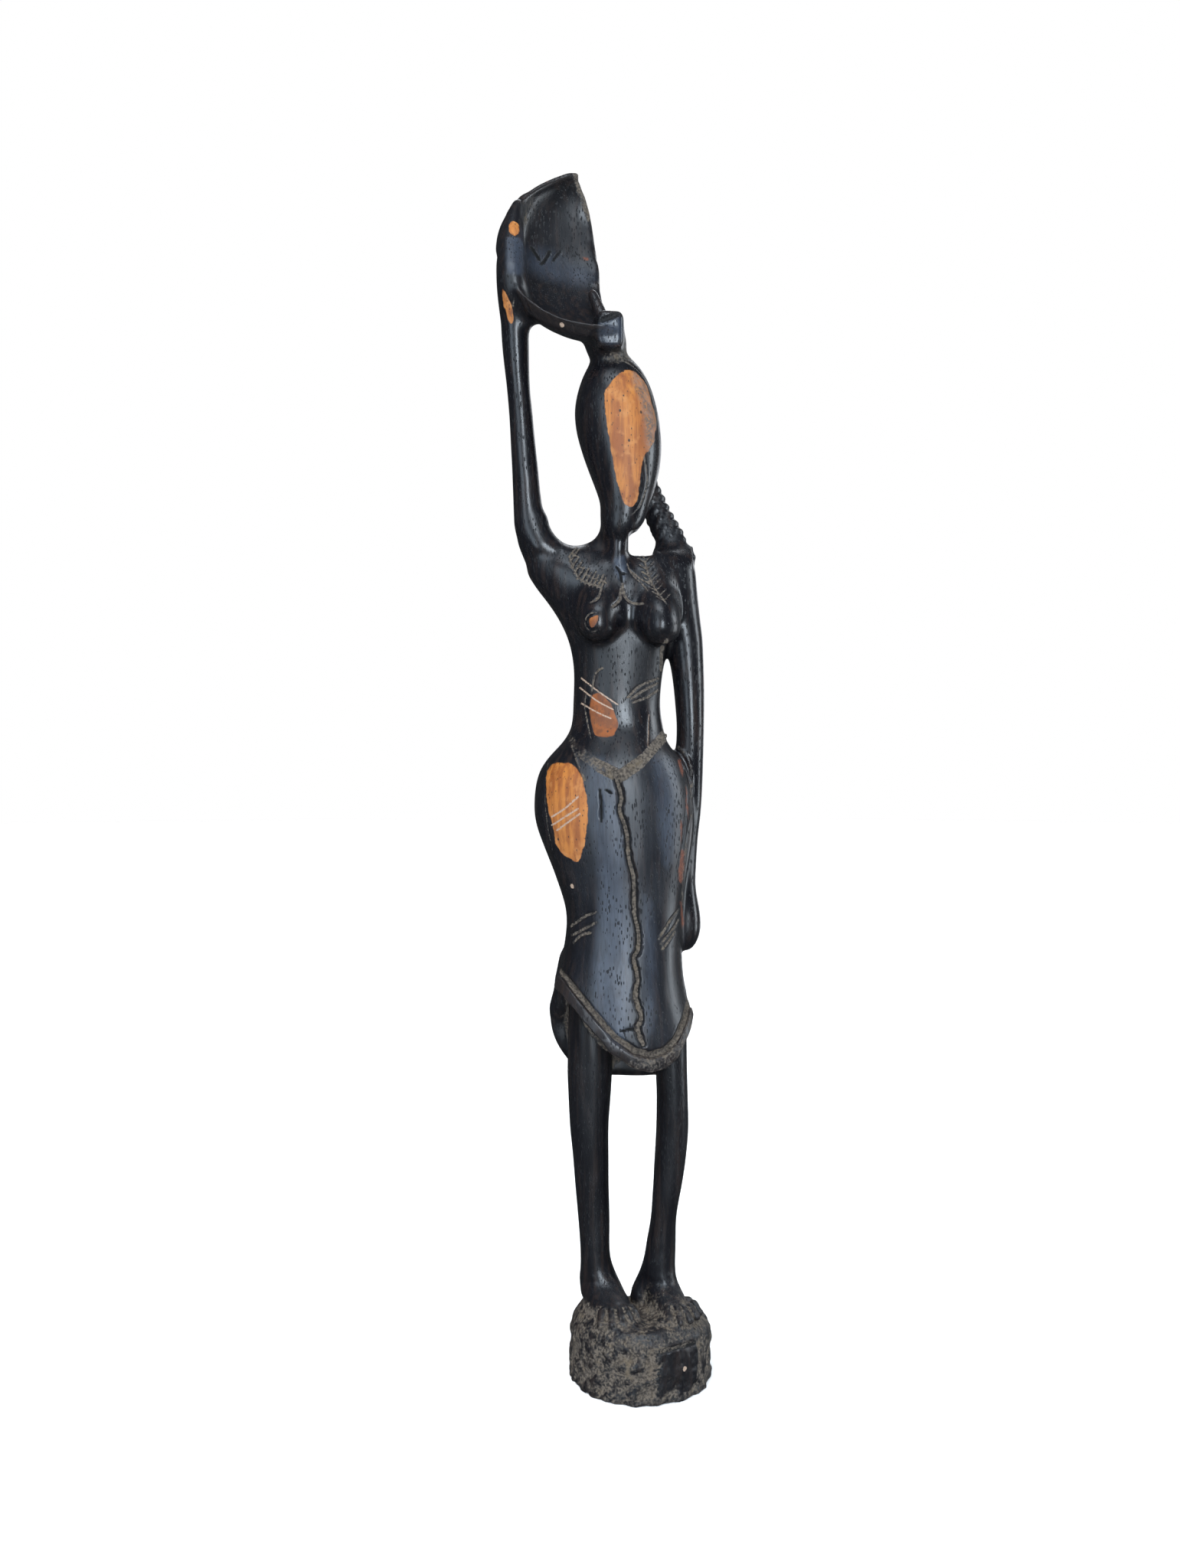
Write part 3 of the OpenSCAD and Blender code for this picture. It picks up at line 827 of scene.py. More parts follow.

# Small cracks in a zigzag inside the dish, a slot in its foot, and the lines between the fingers.
# The dish's cracks and the slot in its foot are painted near black inside, as painted shade.
cut("bowl", [(0.285, 0.605), (0.315, 0.58), (0.355, 0.545)], 1.3, 1.0, dark=1.0, ragged=0.2)
cut("bowl", [(0.445, 0.60), (0.41, 0.555), (0.375, 0.52)], 1.2, 1.0, dark=1.0, ragged=0.2)
cut("bowl", [(0.535, 0.61), (0.50, 0.58), (0.475, 0.55)], 1.0, 0.8, dark=1.0, ragged=0.2)
cut("dish_foot", [(0.38, 0.45), (0.60, 0.52), (0.80, 0.62)], 1.8, 0.9, dark=0.7, flat=2.0, taper=0.1)
cut("raised_arm", [(0.22, 1.06), (0.18, 1.01), (0.16, 0.97)], 0.9, 0.3, dust=0.4)
cut("raised_arm", [(0.29, 1.05), (0.33, 1.03), (0.37, 1.01)], 0.9, 0.4)
cut("raised_arm", [(0.36, 1.05), (0.41, 1.02), (0.46, 0.99)], 0.9, 0.4)

# The plinth's facet is bounded by one deep chisel line, and gouges slant up beside it.
# The chisel line and the gouges are painted dark inside, as painted shade.
cut("plinth", [(0.62, 0.76), (0.73, 0.775), (0.85, 0.755)], 1.4, 1.2, dark=1.0, taper=0.05, flat=1.5)
cut("plinth", [(0.87, 0.72), (0.89, 0.55), (0.87, 0.25)], 1.2, 0.5, dust=0.7)
for step in range(7):
    low_end = (0.44 + 0.012 * step, 0.07 + 0.07 * step)
    high_end = (low_end[0] + 0.115, low_end[1] + 0.085)
    cut("plinth", [low_end, high_end], 1.1, 0.8, dark=0.7)

# Slots part the toes.
# The slots are painted dark inside, as painted shade.
for foot, (across, back, turn) in TOES.items():
    low, high = mm_box(foot)
    size = (high - low)[:2]
    for gap in (-1.5, -0.5, 0.5, 1.5):
        sideways, backward = (v[:2] for v in level(math.radians(turn + TOE_SPREAD * gap)))
        ends = [(sideways * gap * 2.25 - backward * far) / size + (across, back) for far in (1.6, 3.4, 5.4)]
        cut(foot, ends, 1.1, 1.0, dark=0.8, taper=0.1, facing="top")

# Her back shows the same knife: strokes on the shoulder blades and the skirt, and a long check.
for u, v in ((0.30, 0.74), (0.62, 0.74)):
    for line in range(3):
        cut("torso", [(u, v - 0.035 * line), (u + 0.14, v + 0.035 - 0.035 * line)], 1.2, 0.4, dust=0.7,
            facing="back")
cut("skirt", [(0.47, 0.86), (0.50, 0.74), (0.48, 0.62), (0.51, 0.50), (0.50, 0.40), (0.52, 0.30)], 1.3,
    1.2, dust=0.8, ragged=0.3, flat=1.6, taper=0.08, fill=0.5, facing="back")
for line in range(3):
    cut("skirt", [(0.64, 0.52 - 0.03 * line), (0.78, 0.57 - 0.03 * line)], 1.3, 0.5, dust=0.7, facing="back")

# ---------------------------------------------------------------- pieces

OVERLAP = 1.0    # each piece runs this far into its neighbours
TUCK = 0.12      # and lies this much deeper where it ends


def cell(node, part):
    """How far each grid point lies outside the share of the form that is nearest to a CAD solid."""
    rival = np.full(shape_of(part), REACH, np.float32)
    for other in near:
        if other != node:
            rival = np.minimum(rival, distance_to(other, part))
    return (distance_to(node, part) - rival) / 2


def largest_body(points, quads):
    """The largest connected part of a mesh."""
    label = np.arange(len(points))
    a, b = quads[:, [0, 1, 2, 3]].ravel(), quads[:, [1, 2, 3, 0]].ravel()
    while True:
        lowest = np.minimum(label[a], label[b])
        new = label.copy()
        np.minimum.at(new, a, lowest)
        np.minimum.at(new, b, lowest)
        new = new[new]
        if (new == label).all():
            break
        label = new
    names, counts = np.unique(label[quads[:, 0]], return_counts=True)
    quads = quads[label[quads[:, 0]] == names[counts.argmax()]]
    used, quads = np.unique(quads, return_inverse=True)
    return points[used], quads.reshape(-1, 4)


def outward(points, quads):
    """The same quads, wound so that they face out of the solid."""
    a, b, c, d = (points[quads[:, k]].astype(float) for k in range(4))
    volume = (np.cross(b - a, c - a) * a).sum() + (np.cross(c - a, d - a) * a).sum()
    return quads if volume > 0 else quads[:, ::-1]


def slope(values, part, points):
    """The unit vector that points out of the form at each point."""
    result = np.empty((len(points), 3), np.float32)
    for axis in range(3):
        step = np.zeros(3)
        step[axis] = VOXEL * 0.75
        result[:, axis] = sample(values, part, points + step) - sample(values, part, points - step)
    return result / np.maximum(np.linalg.norm(result, axis=1), 1e-9)[:, None]


def placed(name, data):
    """A new object in the scene."""
    item = bpy.data.objects.new(name, data)
    bpy.context.scene.collection.objects.link(item)
    return item


def build_mesh(name, points, quads, normals):
    """A smooth mesh of quads. Their custom normals are those of the form itself."""
    mesh = bpy.data.meshes.new(name)
    mesh.vertices.add(len(points))
    mesh.vertices.foreach_set("co", (points / MM).astype(np.float32).ravel())
    mesh.loops.add(len(quads) * 4)
    mesh.loops.foreach_set("vertex_index", quads.astype(np.int32).ravel())
    mesh.polygons.add(len(quads))
    mesh.polygons.foreach_set("loop_start", np.arange(0, len(quads) * 4, 4, dtype=np.int32))
    mesh.update(calc_edges=True)
    mesh.validate()
    mesh.shade_smooth()
    if len(mesh.vertices) == len(normals):
        mesh.normals_split_custom_set_from_vertices(normals)
    return mesh


ROUGH_NODES = {"plinth", "right_foot", "left_foot", "skirt_hem", "waistband", "hair_plait"}
pieces = {}
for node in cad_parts:
    part = window(*mm_box(node), 3.5)
    outside = cell(node, part)
    tucked = form[part] + TUCK * np.maximum(outside, 0) ** 2
    values = np.maximum(tucked, outside - OVERLAP)
    points, quads = largest_body(*skin(values, part))
    quads = outward(points, quads)
    mesh = build_mesh("carved_" + node, points, quads, slope(values, part, points))
    piece = pieces[node] = placed("carved_" + node, mesh)
    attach(piece, "root")
    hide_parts(node)

# ---------------------------------------------------------------- colour of the skin

# Outlines on the front of the figure, as fractions of a node's box: the pale sapwood, the red-brown worn
# wood, the scuff on the sapwood and a dusty patch on the dish.
SAPWOOD = [
    ("head", [(0.57, 0.84), (0.43, 0.78), (0.34, 0.70), (0.36, 0.57), (0.43, 0.38), (0.49, 0.24),
        (0.58, 0.15), (0.68, 0.15), (0.72, 0.22), (0.75, 0.33), (0.79, 0.40), (0.86, 0.44), (0.93, 0.55),
        (0.90, 0.65), (0.81, 0.78), (0.69, 0.84)]),
    ("torso", [(0.46, 0.36), (0.50, 0.36), (0.55, 0.33), (0.59, 0.28), (0.61, 0.23), (0.59, 0.18),
        (0.55, 0.17), (0.51, 0.17), (0.47, 0.18), (0.45, 0.24), (0.44, 0.30), (0.45, 0.34)]),
    ("skirt", [(0.15, 0.90), (0.22, 0.90), (0.28, 0.88), (0.31, 0.84), (0.34, 0.77), (0.33, 0.69),
        (0.31, 0.65), (0.28, 0.61), (0.22, 0.62), (0.15, 0.65), (0.13, 0.70), (0.09, 0.78), (0.08, 0.86),
        (0.11, 0.89)]),
    ("torso", [(0.46, 0.68), (0.49, 0.68), (0.48, 0.65), (0.45, 0.63), (0.44, 0.65), (0.44, 0.67)]),
    ("raised_arm", [(0.05, 1.10), (0.12, 1.07), (0.18, 1.03), (0.21, 1.00), (0.18, 0.97), (0.12, 0.99),
        (0.07, 1.04), (0.05, 1.07)]),
    ("raised_hand", [(0.45, 0.76), (0.60, 0.74), (0.63, 0.68), (0.52, 0.62), (0.36, 0.66), (0.33, 0.73)])]
WEAR = [
    ("skirt", [(0.89, 0.91), (0.93, 0.91), (0.935, 0.86), (0.90, 0.87)]),
    ("skirt", [(0.945, 0.84), (0.96, 0.80), (0.96, 0.73), (0.935, 0.79)]),
    ("skirt", [(0.90, 0.73), (0.92, 0.73), (0.92, 0.65), (0.90, 0.65)]),
    ("skirt", [(0.90, 0.645), (0.935, 0.64), (0.93, 0.55), (0.885, 0.55)]),
    ("skirt", [(0.90, 0.49), (0.93, 0.48), (0.95, 0.41), (0.93, 0.38)]),
    ("hanging_arm", [(0.95, 0.64), (1.00, 0.64), (1.00, 0.60), (0.95, 0.60)]),
    ("bowl", [(0.38, 0.945), (0.43, 0.955), (0.44, 0.93), (0.40, 0.915)]),
    ("bowl", [(0.72, 0.595), (0.78, 0.59), (0.80, 0.56), (0.73, 0.565)])]
FLECKS = [("skirt", (0.243, 0.534)), ("plinth", (0.78, 0.46)), ("dish_foot", (-0.53, 0.36))]
NO_PATCH = -3.0     # stands for any place well outside an outline
DEPTH_SHARE = 0.2   # how far a place lies down inside a cut counts only this much

# Heights in millimetres: a layer rises from the first to the second, and falls from the third to the last.
UNDER_SKIRT = (80, 95, 120, 135)
SKIRT_SHEEN = (104, 112, 190, 206)
AMBER = (200, 206, 240, 246)
BELLY = (214, 222, 235, 241)
PLAIT_RISE = (266, 272)
DEEP_FALL = (150, 110)

# How far the skin of some nodes falls short of the polish elsewhere.
MATTE = {"skirt": 0.55, "skirt_back": 0.33, "bowl": 0.35, "neck": 1.8, "raised_hand": 0.5, "right_leg": 0.35,
         "left_leg": 0.35}

# Where a blue-grey sheen and highlight are painted into the colour, with the width its edge fades over.
PAINTED_SHEEN_PATCHES = [
    (0.7, 0.9, "raised_hand", [(0.30, 0.60), (0.62, 0.62), (0.80, 0.56), (0.78, 0.30), (0.50, 0.27),
        (0.32, 0.32)]),
    (0.6, 0.8, "dish_foot", [(0.32, 0.40), (0.60, 0.44), (0.88, 0.52), (0.88, 0.0), (0.62, -0.10),
        (0.34, 0.02)]),
    (0.9, 3.0, "skirt", [(0.36, 0.90), (0.46, 0.90), (0.53, 0.76), (0.57, 0.60), (0.60, 0.40),
        (0.60, 0.22), (0.57, 0.09), (0.47, 0.10), (0.36, 0.24), (0.40, 0.45), (0.39, 0.62), (0.34, 0.76)]),
    (0.7, 3.0, "skirt", [(0.67, 0.52), (0.73, 0.48), (0.76, 0.30), (0.74, 0.14), (0.69, 0.12),
        (0.67, 0.30)]),
    (1.0, 1.0, "torso", [(0.590, 0.942), (0.652, 0.959), (0.660, 0.877), (0.643, 0.843), (0.595, 0.874)]),
    (0.6, 4.5, "bowl", [(0.23, 0.585), (0.32, 0.60), (0.47, 0.595), (0.62, 0.55), (0.77, 0.515),
        (0.82, 0.46), (0.70, 0.42), (0.47, 0.435), (0.32, 0.46), (0.25, 0.505)]),
    (0.7, 3.0, "skirt", [(0.72, 0.92), (0.86, 0.90), (0.89, 0.76), (0.85, 0.60), (0.78, 0.62),
        (0.75, 0.78)])]
SCUFF = ("head", [(0.66, 0.86), (0.80, 0.80), (0.90, 0.67), (0.95, 0.55), (0.87, 0.42), (0.80, 0.44),
    (0.77, 0.56), (0.73, 0.67), (0.64, 0.78)])
DUSTY = ("bowl", [(0.60, 1.02), (0.74, 1.02), (0.81, 0.84), (0.77, 0.78), (0.69, 0.90)])


def inside_box(points, low, high, room):
    return ((points > low - room) & (points < high + room)).all(1)


def gap_to(points, place):
    """Distances from points to one place."""
    return np.sqrt(((points - place) ** 2).sum(1))


def most(*layers):
    result = layers[0]
    for layer in layers[1:]:
        result = np.maximum(result, layer)
    return result


def patch(points, forward, node, outline):
    """How far each point lies inside an outline seen from the front, and below zero outside it."""
    behind = mm_box(node)[1][1] if node == "bowl" else at(node, 0, 0.55, 0)[1]
    low, high = (corner[[0, 2]] for corner in mm_box(node))
    line = low + (high - low) * curved([*outline, outline[0]], 3)
    flat = points[:, [0, 2]]
    near_it = forward & (points[:, 1] < behind) & inside_box(flat, line.min(0), line.max(0), -NO_PATCH)
    p = flat[near_it]
    best = np.full(len(p), np.inf)
    inside = np.zeros(len(p), bool)
    for a, b in zip(line, line[1:]):
        step = b - a
        t = np.clip(((p - a) @ step) / max(step @ step, 1e-9), 0, 1)
        best = np.minimum(best, ((p - a - t[:, None] * step) ** 2).sum(1))
        crosses = (a[1] > p[:, 1]) != (b[1] > p[:, 1])
        rise = step[1] if abs(step[1]) > 1e-9 else 1e-9
        inside ^= crosses & (p[:, 0] < a[0] + (p[:, 1] - a[1]) / rise * step[0])
    result = np.full(len(points), NO_PATCH)
    result[near_it] = np.where(inside, 1, -1) * np.sqrt(best)
    return result


def close_to(node, points, start=2.0, end=0.5):
    """From 1 at points near a CAD solid to 0 away from it."""
    own, values = near[node]
    inside = inside_box(points, *mm_box(node), REACH)
    result = np.zeros(len(points), np.float32)
    result[inside] = smooth_step(start, end, sample(values, own, points[inside]))
    return result


def cut_layers(points):
    """The dust, the bare wood and the painted shade in every cut."""
    layers = [np.zeros(len(points), np.float32) for _ in range(3)]
    for path, width, axis, *shares, fill in cuts:
        inside = inside_box(points, path.min(0), path.max(0), width + 1)
        if not any(shares) or not inside.any():
            continue
        seen = np.ones(3)
        seen[axis] = DEPTH_SHARE
        gap, _ = distance_to_path(*(points[inside] * seen).T, path * seen)
        edges = ((fill * 0.625, fill * 0.30), (0.50, 0.15), (0.56, 0.40))
        for layer, share, (outer, inner) in zip(layers, shares, edges):
            layer[inside] = np.maximum(layer[inside], share * smooth_step(width * outer, width * inner, gap))
    return layers


def groove_dust(points):
    """Dust in the groove along the hem."""
    part, groove = hem_groove
    inside = inside_box(points, *mm_box("skirt_hem"), 3)
    result = np.zeros(len(points), np.float32)
    result[inside] = sample(groove, part, points[inside])
    return result


def settled_dust(points, normals, forward, hollow, base, band, plait):
    """Dust on the plinth and feet, under the skirt, in the broken wood, the braiding and the hollows."""
    x, _, z = points.T
    depth = sample(depths, WHOLE, points)
    hem_start = 0.7 * smooth_step(6.5, 2.5, gap_to(points, at("skirt_hem", 0.12, 0.2, 0.90)))
    hem_roll = close_to("skirt_hem", points, 1.6) * smooth_step(-14, 0, x) * (normals[:, 1] < 0.3)
    toes = smooth_step(plinth_top + 7, plinth_top + 2, z)
    feet = most(close_to("right_foot", points, 2.5) * toes, close_to("left_foot", points, 3.0))
    under = smooth_step(-0.35, -0.8, normals[:, 2]) * span(z, *UNDER_SKIRT)
    (left, _, low), (right, _, high) = at("plinth", 0.62, 0, 0.16), at("plinth", 0.87, 0, 0.77)
    on_facet = forward * (span(x, left - 2, left + 2, right - 1, right + 1)
                          * span(z, low - 2, low + 2, high - 0.8, high + 0.8))
    on_floor = (0.60 - 0.40 * on_facet) * smooth_step(plinth_top + 2, plinth_top - 1, z)
    in_break = close_to("bowl", points, 1.5) * rising("bowl", 2, 0.62, 0.75, z)
    in_break = in_break * smooth_step(0.35, 0.75, normals[:, 0])
    on_crown = smooth_step(9, 4, gap_to(points, at("head", 0.50, 0.30, 0.97)))
    return most(0.95 * groove_dust(points), hem_start * smooth_step(0.02, 0.10, hollow), 0.62 * hem_roll,
                0.9 * band, base * (0.15 + 0.50 * feet), on_floor, 0.7 * under, 0.55 * in_break,
                0.6 * plait * smooth_step(0.0, 0.12, hollow) * smooth_step(*PLAIT_RISE, z),
                0.5 * smooth_step(0.12, 0.35, depth) * smooth_step(*DEEP_FALL, z), 0.5 * on_crown,
                0.8 * smooth_step(-0.6, 0.8, patch(points, forward, *DUSTY)))


def surface_layers(points, normals):
    """What each point of the skin shows, as one number a layer, for the wood's shader."""
    x, _, z = points.T
    forward = normals[:, 1] < 0.25
    hollow = sample(hollows, WHOLE, points)
    base = smooth_step(plinth_top + 16, plinth_top - 2, z)
    band = close_to("waistband", points, 0.75, 0.2) * (1 - 0.5 * rising("waistband", 0, 0.42, 0.2, x))
    plait = close_to("hair_plait", points, 1.0, 0.3)
    dust, pale, dark = cut_layers(points)
    dust = most(dust, settled_dust(points, normals, forward, hollow, base, band, plait))
    for node, place in FLECKS:
        pale = most(pale, 1.6 * smooth_step(0.9, 0.5, gap_to(points, spots(node, "front", [place])[0])))
    # Painted sheen: a faint blue-grey on the forward-facing front of the skirt, and stronger painted sheen
    # and highlight patches from the table.
    painted_sheen = 0.15 * close_to("skirt", points) * smooth_step(0.35, 0.95, -normals[:, 1]) * span(z, *SKIRT_SHEEN)
    for share, fade, *entry in PAINTED_SHEEN_PATCHES:
        painted_sheen = most(painted_sheen, share * smooth_step(-0.9 * fade, fade, patch(points, forward, *entry)))
    matte = most(base, band, 0.35 * plait, 0.8 * close_to("torso", points) * span(z, *BELLY),
                 *(share * close_to(node, points) for node, share in MATTE.items()))
    return {"sapwood": most(*(patch(points, forward, *entry) for entry in SAPWOOD)),
            "wear": most(*(patch(points, forward, *entry) for entry in WEAR)),
            "dust": dust, "pale": pale, "dark": dark, "hollow": hollow, "matte": matte, "painted_sheen": painted_sheen,
            "amber": span(z, *AMBER), "scuff": smooth_step(-1.0, 1.6, patch(points, forward, *SCUFF))}


plinth_top = mm_box("plinth")[1][2]
hollows = -blurred(form, 0.9)
depths = -blurred(form, 2.6)
for piece in pieces.values():
    mesh = piece.data
    points = np.empty(len(mesh.vertices) * 3, np.float32)
    mesh.vertices.foreach_get("co", points)
    points = points.reshape(-1, 3) * MM
    for name, values in surface_layers(points, slope(form, WHOLE, points)).items():
        layer = mesh.attributes.new(name, "FLOAT", "POINT")
        layer.data.foreach_set("value", values.astype(np.float32))

# ---------------------------------------------------------------- wood

# Colours. A pair is the two that a pattern mixes.
HEARTWOOD = (0.0032, 0.0031, 0.0043), (0.0115, 0.0078, 0.0072)
# The blue-grey of the painted sheen.
PAINTED_SHEEN_COLOUR = (0.040, 0.051, 0.072)
# The lighter colour of the painted highlight on ridges.
PAINTED_EDGE_HIGHLIGHT = (0.030, 0.023, 0.020)
PORE = (0.003, 0.003, 0.004)
SAP = (0.30, 0.108, 0.018), (0.180, 0.052, 0.009)
SAP_PALE = (0.345, 0.150, 0.044)
SAP_AMBER = (0.165, 0.042, 0.004), (0.080, 0.019, 0.003)
SAP_SCUFFED = (0.170, 0.098, 0.066), (0.070, 0.052, 0.042)
SAP_HOLE = (0.020, 0.009, 0.005)
SAP_PIT = (0.045, 0.016, 0.007)
SAP_FIBRE = (0.120, 0.040, 0.011)
WORN = (0.075, 0.019, 0.009), (0.150, 0.044, 0.018)
SCRATCH = (0.27, 0.195, 0.145)
# Near black, painted into cuts and cracks as shade.
PAINTED_CRACK_SHADE = (0.0015, 0.0015, 0.0018)
DUST = (0.030, 0.0245, 0.0205), (0.088, 0.0735, 0.0585)
DUST_TAN = (0.094, 0.073, 0.047)
BUMP_HIGH = 0.00022    # in metres


class Shader:
    """Short calls that add nodes to a material. Lengths in its patterns are millimetres."""

    def __init__(self, material):
        material.use_nodes = True
        self.tree = material.node_tree
        self.principled = self.tree.nodes["Principled BSDF"]
        place = self.add("ShaderNodeTexCoord").outputs["Object"]
        self.place = self.scaled(place, (MM, MM, MM))

    def add(self, kind, inputs=None, **settings):
        node = self.tree.nodes.new(kind)
        for name, value in settings.items():
            setattr(node, name, value)
        for name, value in (inputs or {}).items():
            self.set(node.inputs[name], value)
        return node

    def set(self, socket, value):
        if isinstance(value, bpy.types.NodeSocket):
            self.tree.links.new(value, socket)
        else:
            socket.default_value = value

    def scaled(self, vector, scale):
        return self.add("ShaderNodeVectorMath", {0: vector, 1: scale}, operation="MULTIPLY").outputs[0]

    def maths(self, operation, a, b, c=0.0):
        return self.add("ShaderNodeMath", {0: a, 1: b, 2: c}, operation=operation).outputs[0]

    def times(self, a, b):
        return self.maths("MULTIPLY", a, b)

    def plus(self, a, b):
        return self.maths("ADD", a, b)

    def minus(self, a, b):
        return self.maths("SUBTRACT", a, b)

    def larger(self, a, b):
        return self.maths("MAXIMUM", a, b)

    def step(self, value, low, high, start=0.0, end=1.0):
        """Goes smoothly from start to end as value goes from low to high."""
        inputs = {"Value": value, "From Min": low, "From Max": high, "To Min": start, "To Max": end}
        return self.add("ShaderNodeMapRange", inputs, interpolation_type="SMOOTHSTEP").outputs[0]

    def noise(self, size, detail=4.0, stretch=1.0, shift=0.0):
        """Noise with lumps of a size, longer up the grain by stretch."""
        at_size = self.scaled(self.place, (1 / size, 1 / size, 1 / (size * stretch)))
        moved = self.add("ShaderNodeVectorMath", {0: at_size, 1: (shift,) * 3}, operation="ADD").outputs[0]
        return self.add("ShaderNodeTexNoise", {"Vector": moved, "Scale": 1.0, "Detail": detail}).outputs[0]

    def cells(self, across, along):
        """How far off the nearest of many scattered places is; the numbers are how many to a millimetre."""
        place = self.scaled(self.place, (across, across, along))
        return self.add("ShaderNodeTexVoronoi", {"Vector": place, "Scale": 1.0}).outputs["Distance"]

    def layer(self, name):
        return self.add("ShaderNodeAttribute", attribute_name=name).outputs["Fac"]

    def mix(self, share, a, b):
        """Mixes two colours."""
        a, b = (c if isinstance(c, bpy.types.NodeSocket) else (*c, 1.0) for c in (a, b))
        return self.add("ShaderNodeMix", {0: share, 6: a, 7: b}, data_type="RGBA").outputs[2]

    def blend(self, share, a, b):
        """Mixes two numbers."""
        return self.add("ShaderNodeMix", {0: share, 2: a, 3: b}, data_type="FLOAT").outputs[0]


class Wood(Shader):
    """Oiled black wood with open pores, sapwood, worn patches and dust in what was cut, with a painted
    sheen, painted highlights on its ridges and painted shade in its cuts.
    """

    def __init__(self, material):
        super().__init__(material)
        self.streaks = self.noise(1.6, 6.0, stretch=14.0)
        self.fibres = self.noise(0.5, 4.0, stretch=12.0, shift=7.0)
        self.clouds = self.noise(9.0, 3.0, stretch=1.6, shift=3.0)
        self.patches = self.noise(3.2, 5.0, shift=11.0)
        self.grit = self.noise(0.75, 4.0, shift=5.0)
        pore_size = self.step(self.clouds, 0.32, 0.58, 0.10, 0.29)
        self.pores = self.step(self.minus(self.cells(1.35, 0.40), pore_size), 0.05, -0.03)
        self.dark, self.pale = self.layer("dark"), self.step(self.layer("pale"), 0.25, 0.75)
        self.in_sap = self.step(self.frayed(self.layer("sapwood"), 1.5), -0.12, 0.22)
        self.in_wear = self.step(self.frayed(self.layer("wear"), 2.2), 0.0, 0.7, 0.0, 0.85)
        self.in_dust = self.dust_share(self.layer("dust"), self.layer("hollow"))
        self.set(self.principled.inputs["Base Color"], self.colour())
        self.set(self.principled.inputs["Roughness"], self.roughness())
        self.set(self.principled.inputs["Normal"], self.bump())

    def frayed(self, layer, amount):
        """A layer with its edge made uneven."""
        return self.maths("MULTIPLY_ADD", self.minus(self.patches, 0.5), amount, layer)

    def dust_share(self, dust, hollow):
        """Dust is thicker in hollows, and breaks up into grains where it is thin."""
        settled = self.plus(self.step(hollow, -0.15, 0.20, -0.12, 0.22), dust)
        settled = self.times(settled, self.step(dust, 0.02, 0.12))
        broken = self.plus(self.times(self.patches, 0.75), self.times(self.grit, 0.75))
        return self.step(self.minus(settled, self.maths("MULTIPLY_ADD", broken, -1.0, 1.28)), -0.18, 0.26)

    def heartwood(self):
        colour = self.mix(self.step(self.streaks, 0.46, 0.68), *HEARTWOOD)
        cloudy = self.step(self.clouds, 0.25, 0.65, 0.55, 1.0)
        uneven = self.times(cloudy, self.step(self.fibres, 0.30, 0.62, 0.60, 1.0))
        # Painted sheen: the sheen layer mixes blue-grey into the black wood, streaked by the noise.
        colour = self.mix(self.times(self.layer("painted_sheen"), uneven), colour, PAINTED_SHEEN_COLOUR)
        # Painted highlight: ridges, where the hollow layer falls below zero, are lightened.
        colour = self.mix(self.step(self.layer("hollow"), -0.16, -0.34, 0.0, 0.30), colour, PAINTED_EDGE_HIGHLIGHT)
        return self.mix(self.times(self.pores, 0.85), colour, PORE)

    def sapwood(self):
        colour = self.mix(self.step(self.streaks, 0.36, 0.66), *SAP)
        colour = self.mix(self.step(self.patches, 0.50, 0.72, 0.0, 0.6), colour, SAP_PALE)
        amber = self.mix(self.step(self.patches, 0.4, 0.6), *SAP_AMBER)
        colour = self.mix(self.times(self.layer("amber"), 0.88), colour, amber)
        scuffed = self.mix(self.step(self.patches, 0.42, 0.60), *SAP_SCUFFED)
        in_scuff = self.times(self.layer("scuff"), self.step(self.grit, 0.36, 0.56, 0.35, 0.95))
        colour = self.mix(in_scuff, colour, scuffed)
        colour = self.mix(self.step(self.cells(0.23, 0.17), 0.105, 0.075), colour, SAP_HOLE)
        pits = self.step(self.cells(0.95, 0.5), 0.22, 0.12)
        colour = self.mix(self.times(pits, self.step(self.grit, 0.42, 0.52)), colour, SAP_PIT)
        return self.mix(self.step(self.fibres, 0.56, 0.70, 0.0, 0.55), colour, SAP_FIBRE)

    def colour(self):
        colour = self.mix(self.in_sap, self.heartwood(), self.sapwood())
        colour = self.mix(self.in_wear, colour, self.mix(self.step(self.grit, 0.4, 0.6), *WORN))
        colour = self.mix(self.times(self.pale, self.step(self.grit, 0.28, 0.46)), colour, SCRATCH)
        # Painted shade: the inside of cuts is painted near black.
        colour = self.mix(self.dark, colour, PAINTED_CRACK_SHADE)
        dust = self.mix(self.step(self.grit, 0.36, 0.64), *DUST)
        dust = self.mix(self.step(self.patches, 0.55, 0.75, 0.0, 0.6), dust, DUST_TAN)
        return self.mix(self.in_dust, colour, dust)

    def roughness(self):
        rough = self.step(self.clouds, 0.3, 0.7, 0.24, 0.34)
        rough = self.plus(rough, self.times(self.layer("matte"), 0.17))
        rough = self.blend(self.times(self.pores, 0.9), rough, 0.85)
        rough = self.blend(self.in_sap, rough, 0.60)
        rough = self.blend(self.larger(self.in_wear, self.step(self.layer("pale"), 0.3, 0.8)), rough, 0.62)
        return self.blend(self.larger(self.in_dust, self.dark), rough, 0.95)

    def bump(self):
        height = self.plus(self.times(self.fibres, 0.30), self.times(self.streaks, 0.35))
        height = self.minus(height, self.times(self.pores, 0.9))
        height = self.plus(height, self.times(self.times(self.grit, self.in_dust), 1.6))
        inputs = {"Strength": 0.35, "Distance": BUMP_HIGH, "Height": height}
        return self.add("ShaderNodeBump", inputs).outputs[0]


woods = {slot: bpy.data.materials.new(slot) for slot in ("ebony_polished", "ebony_rough")}
for material in woods.values():
    Wood(material)
for node, piece in pieces.items():
    piece.data.materials.append(woods["ebony_rough" if node in ROUGH_NODES else "ebony_polished"])

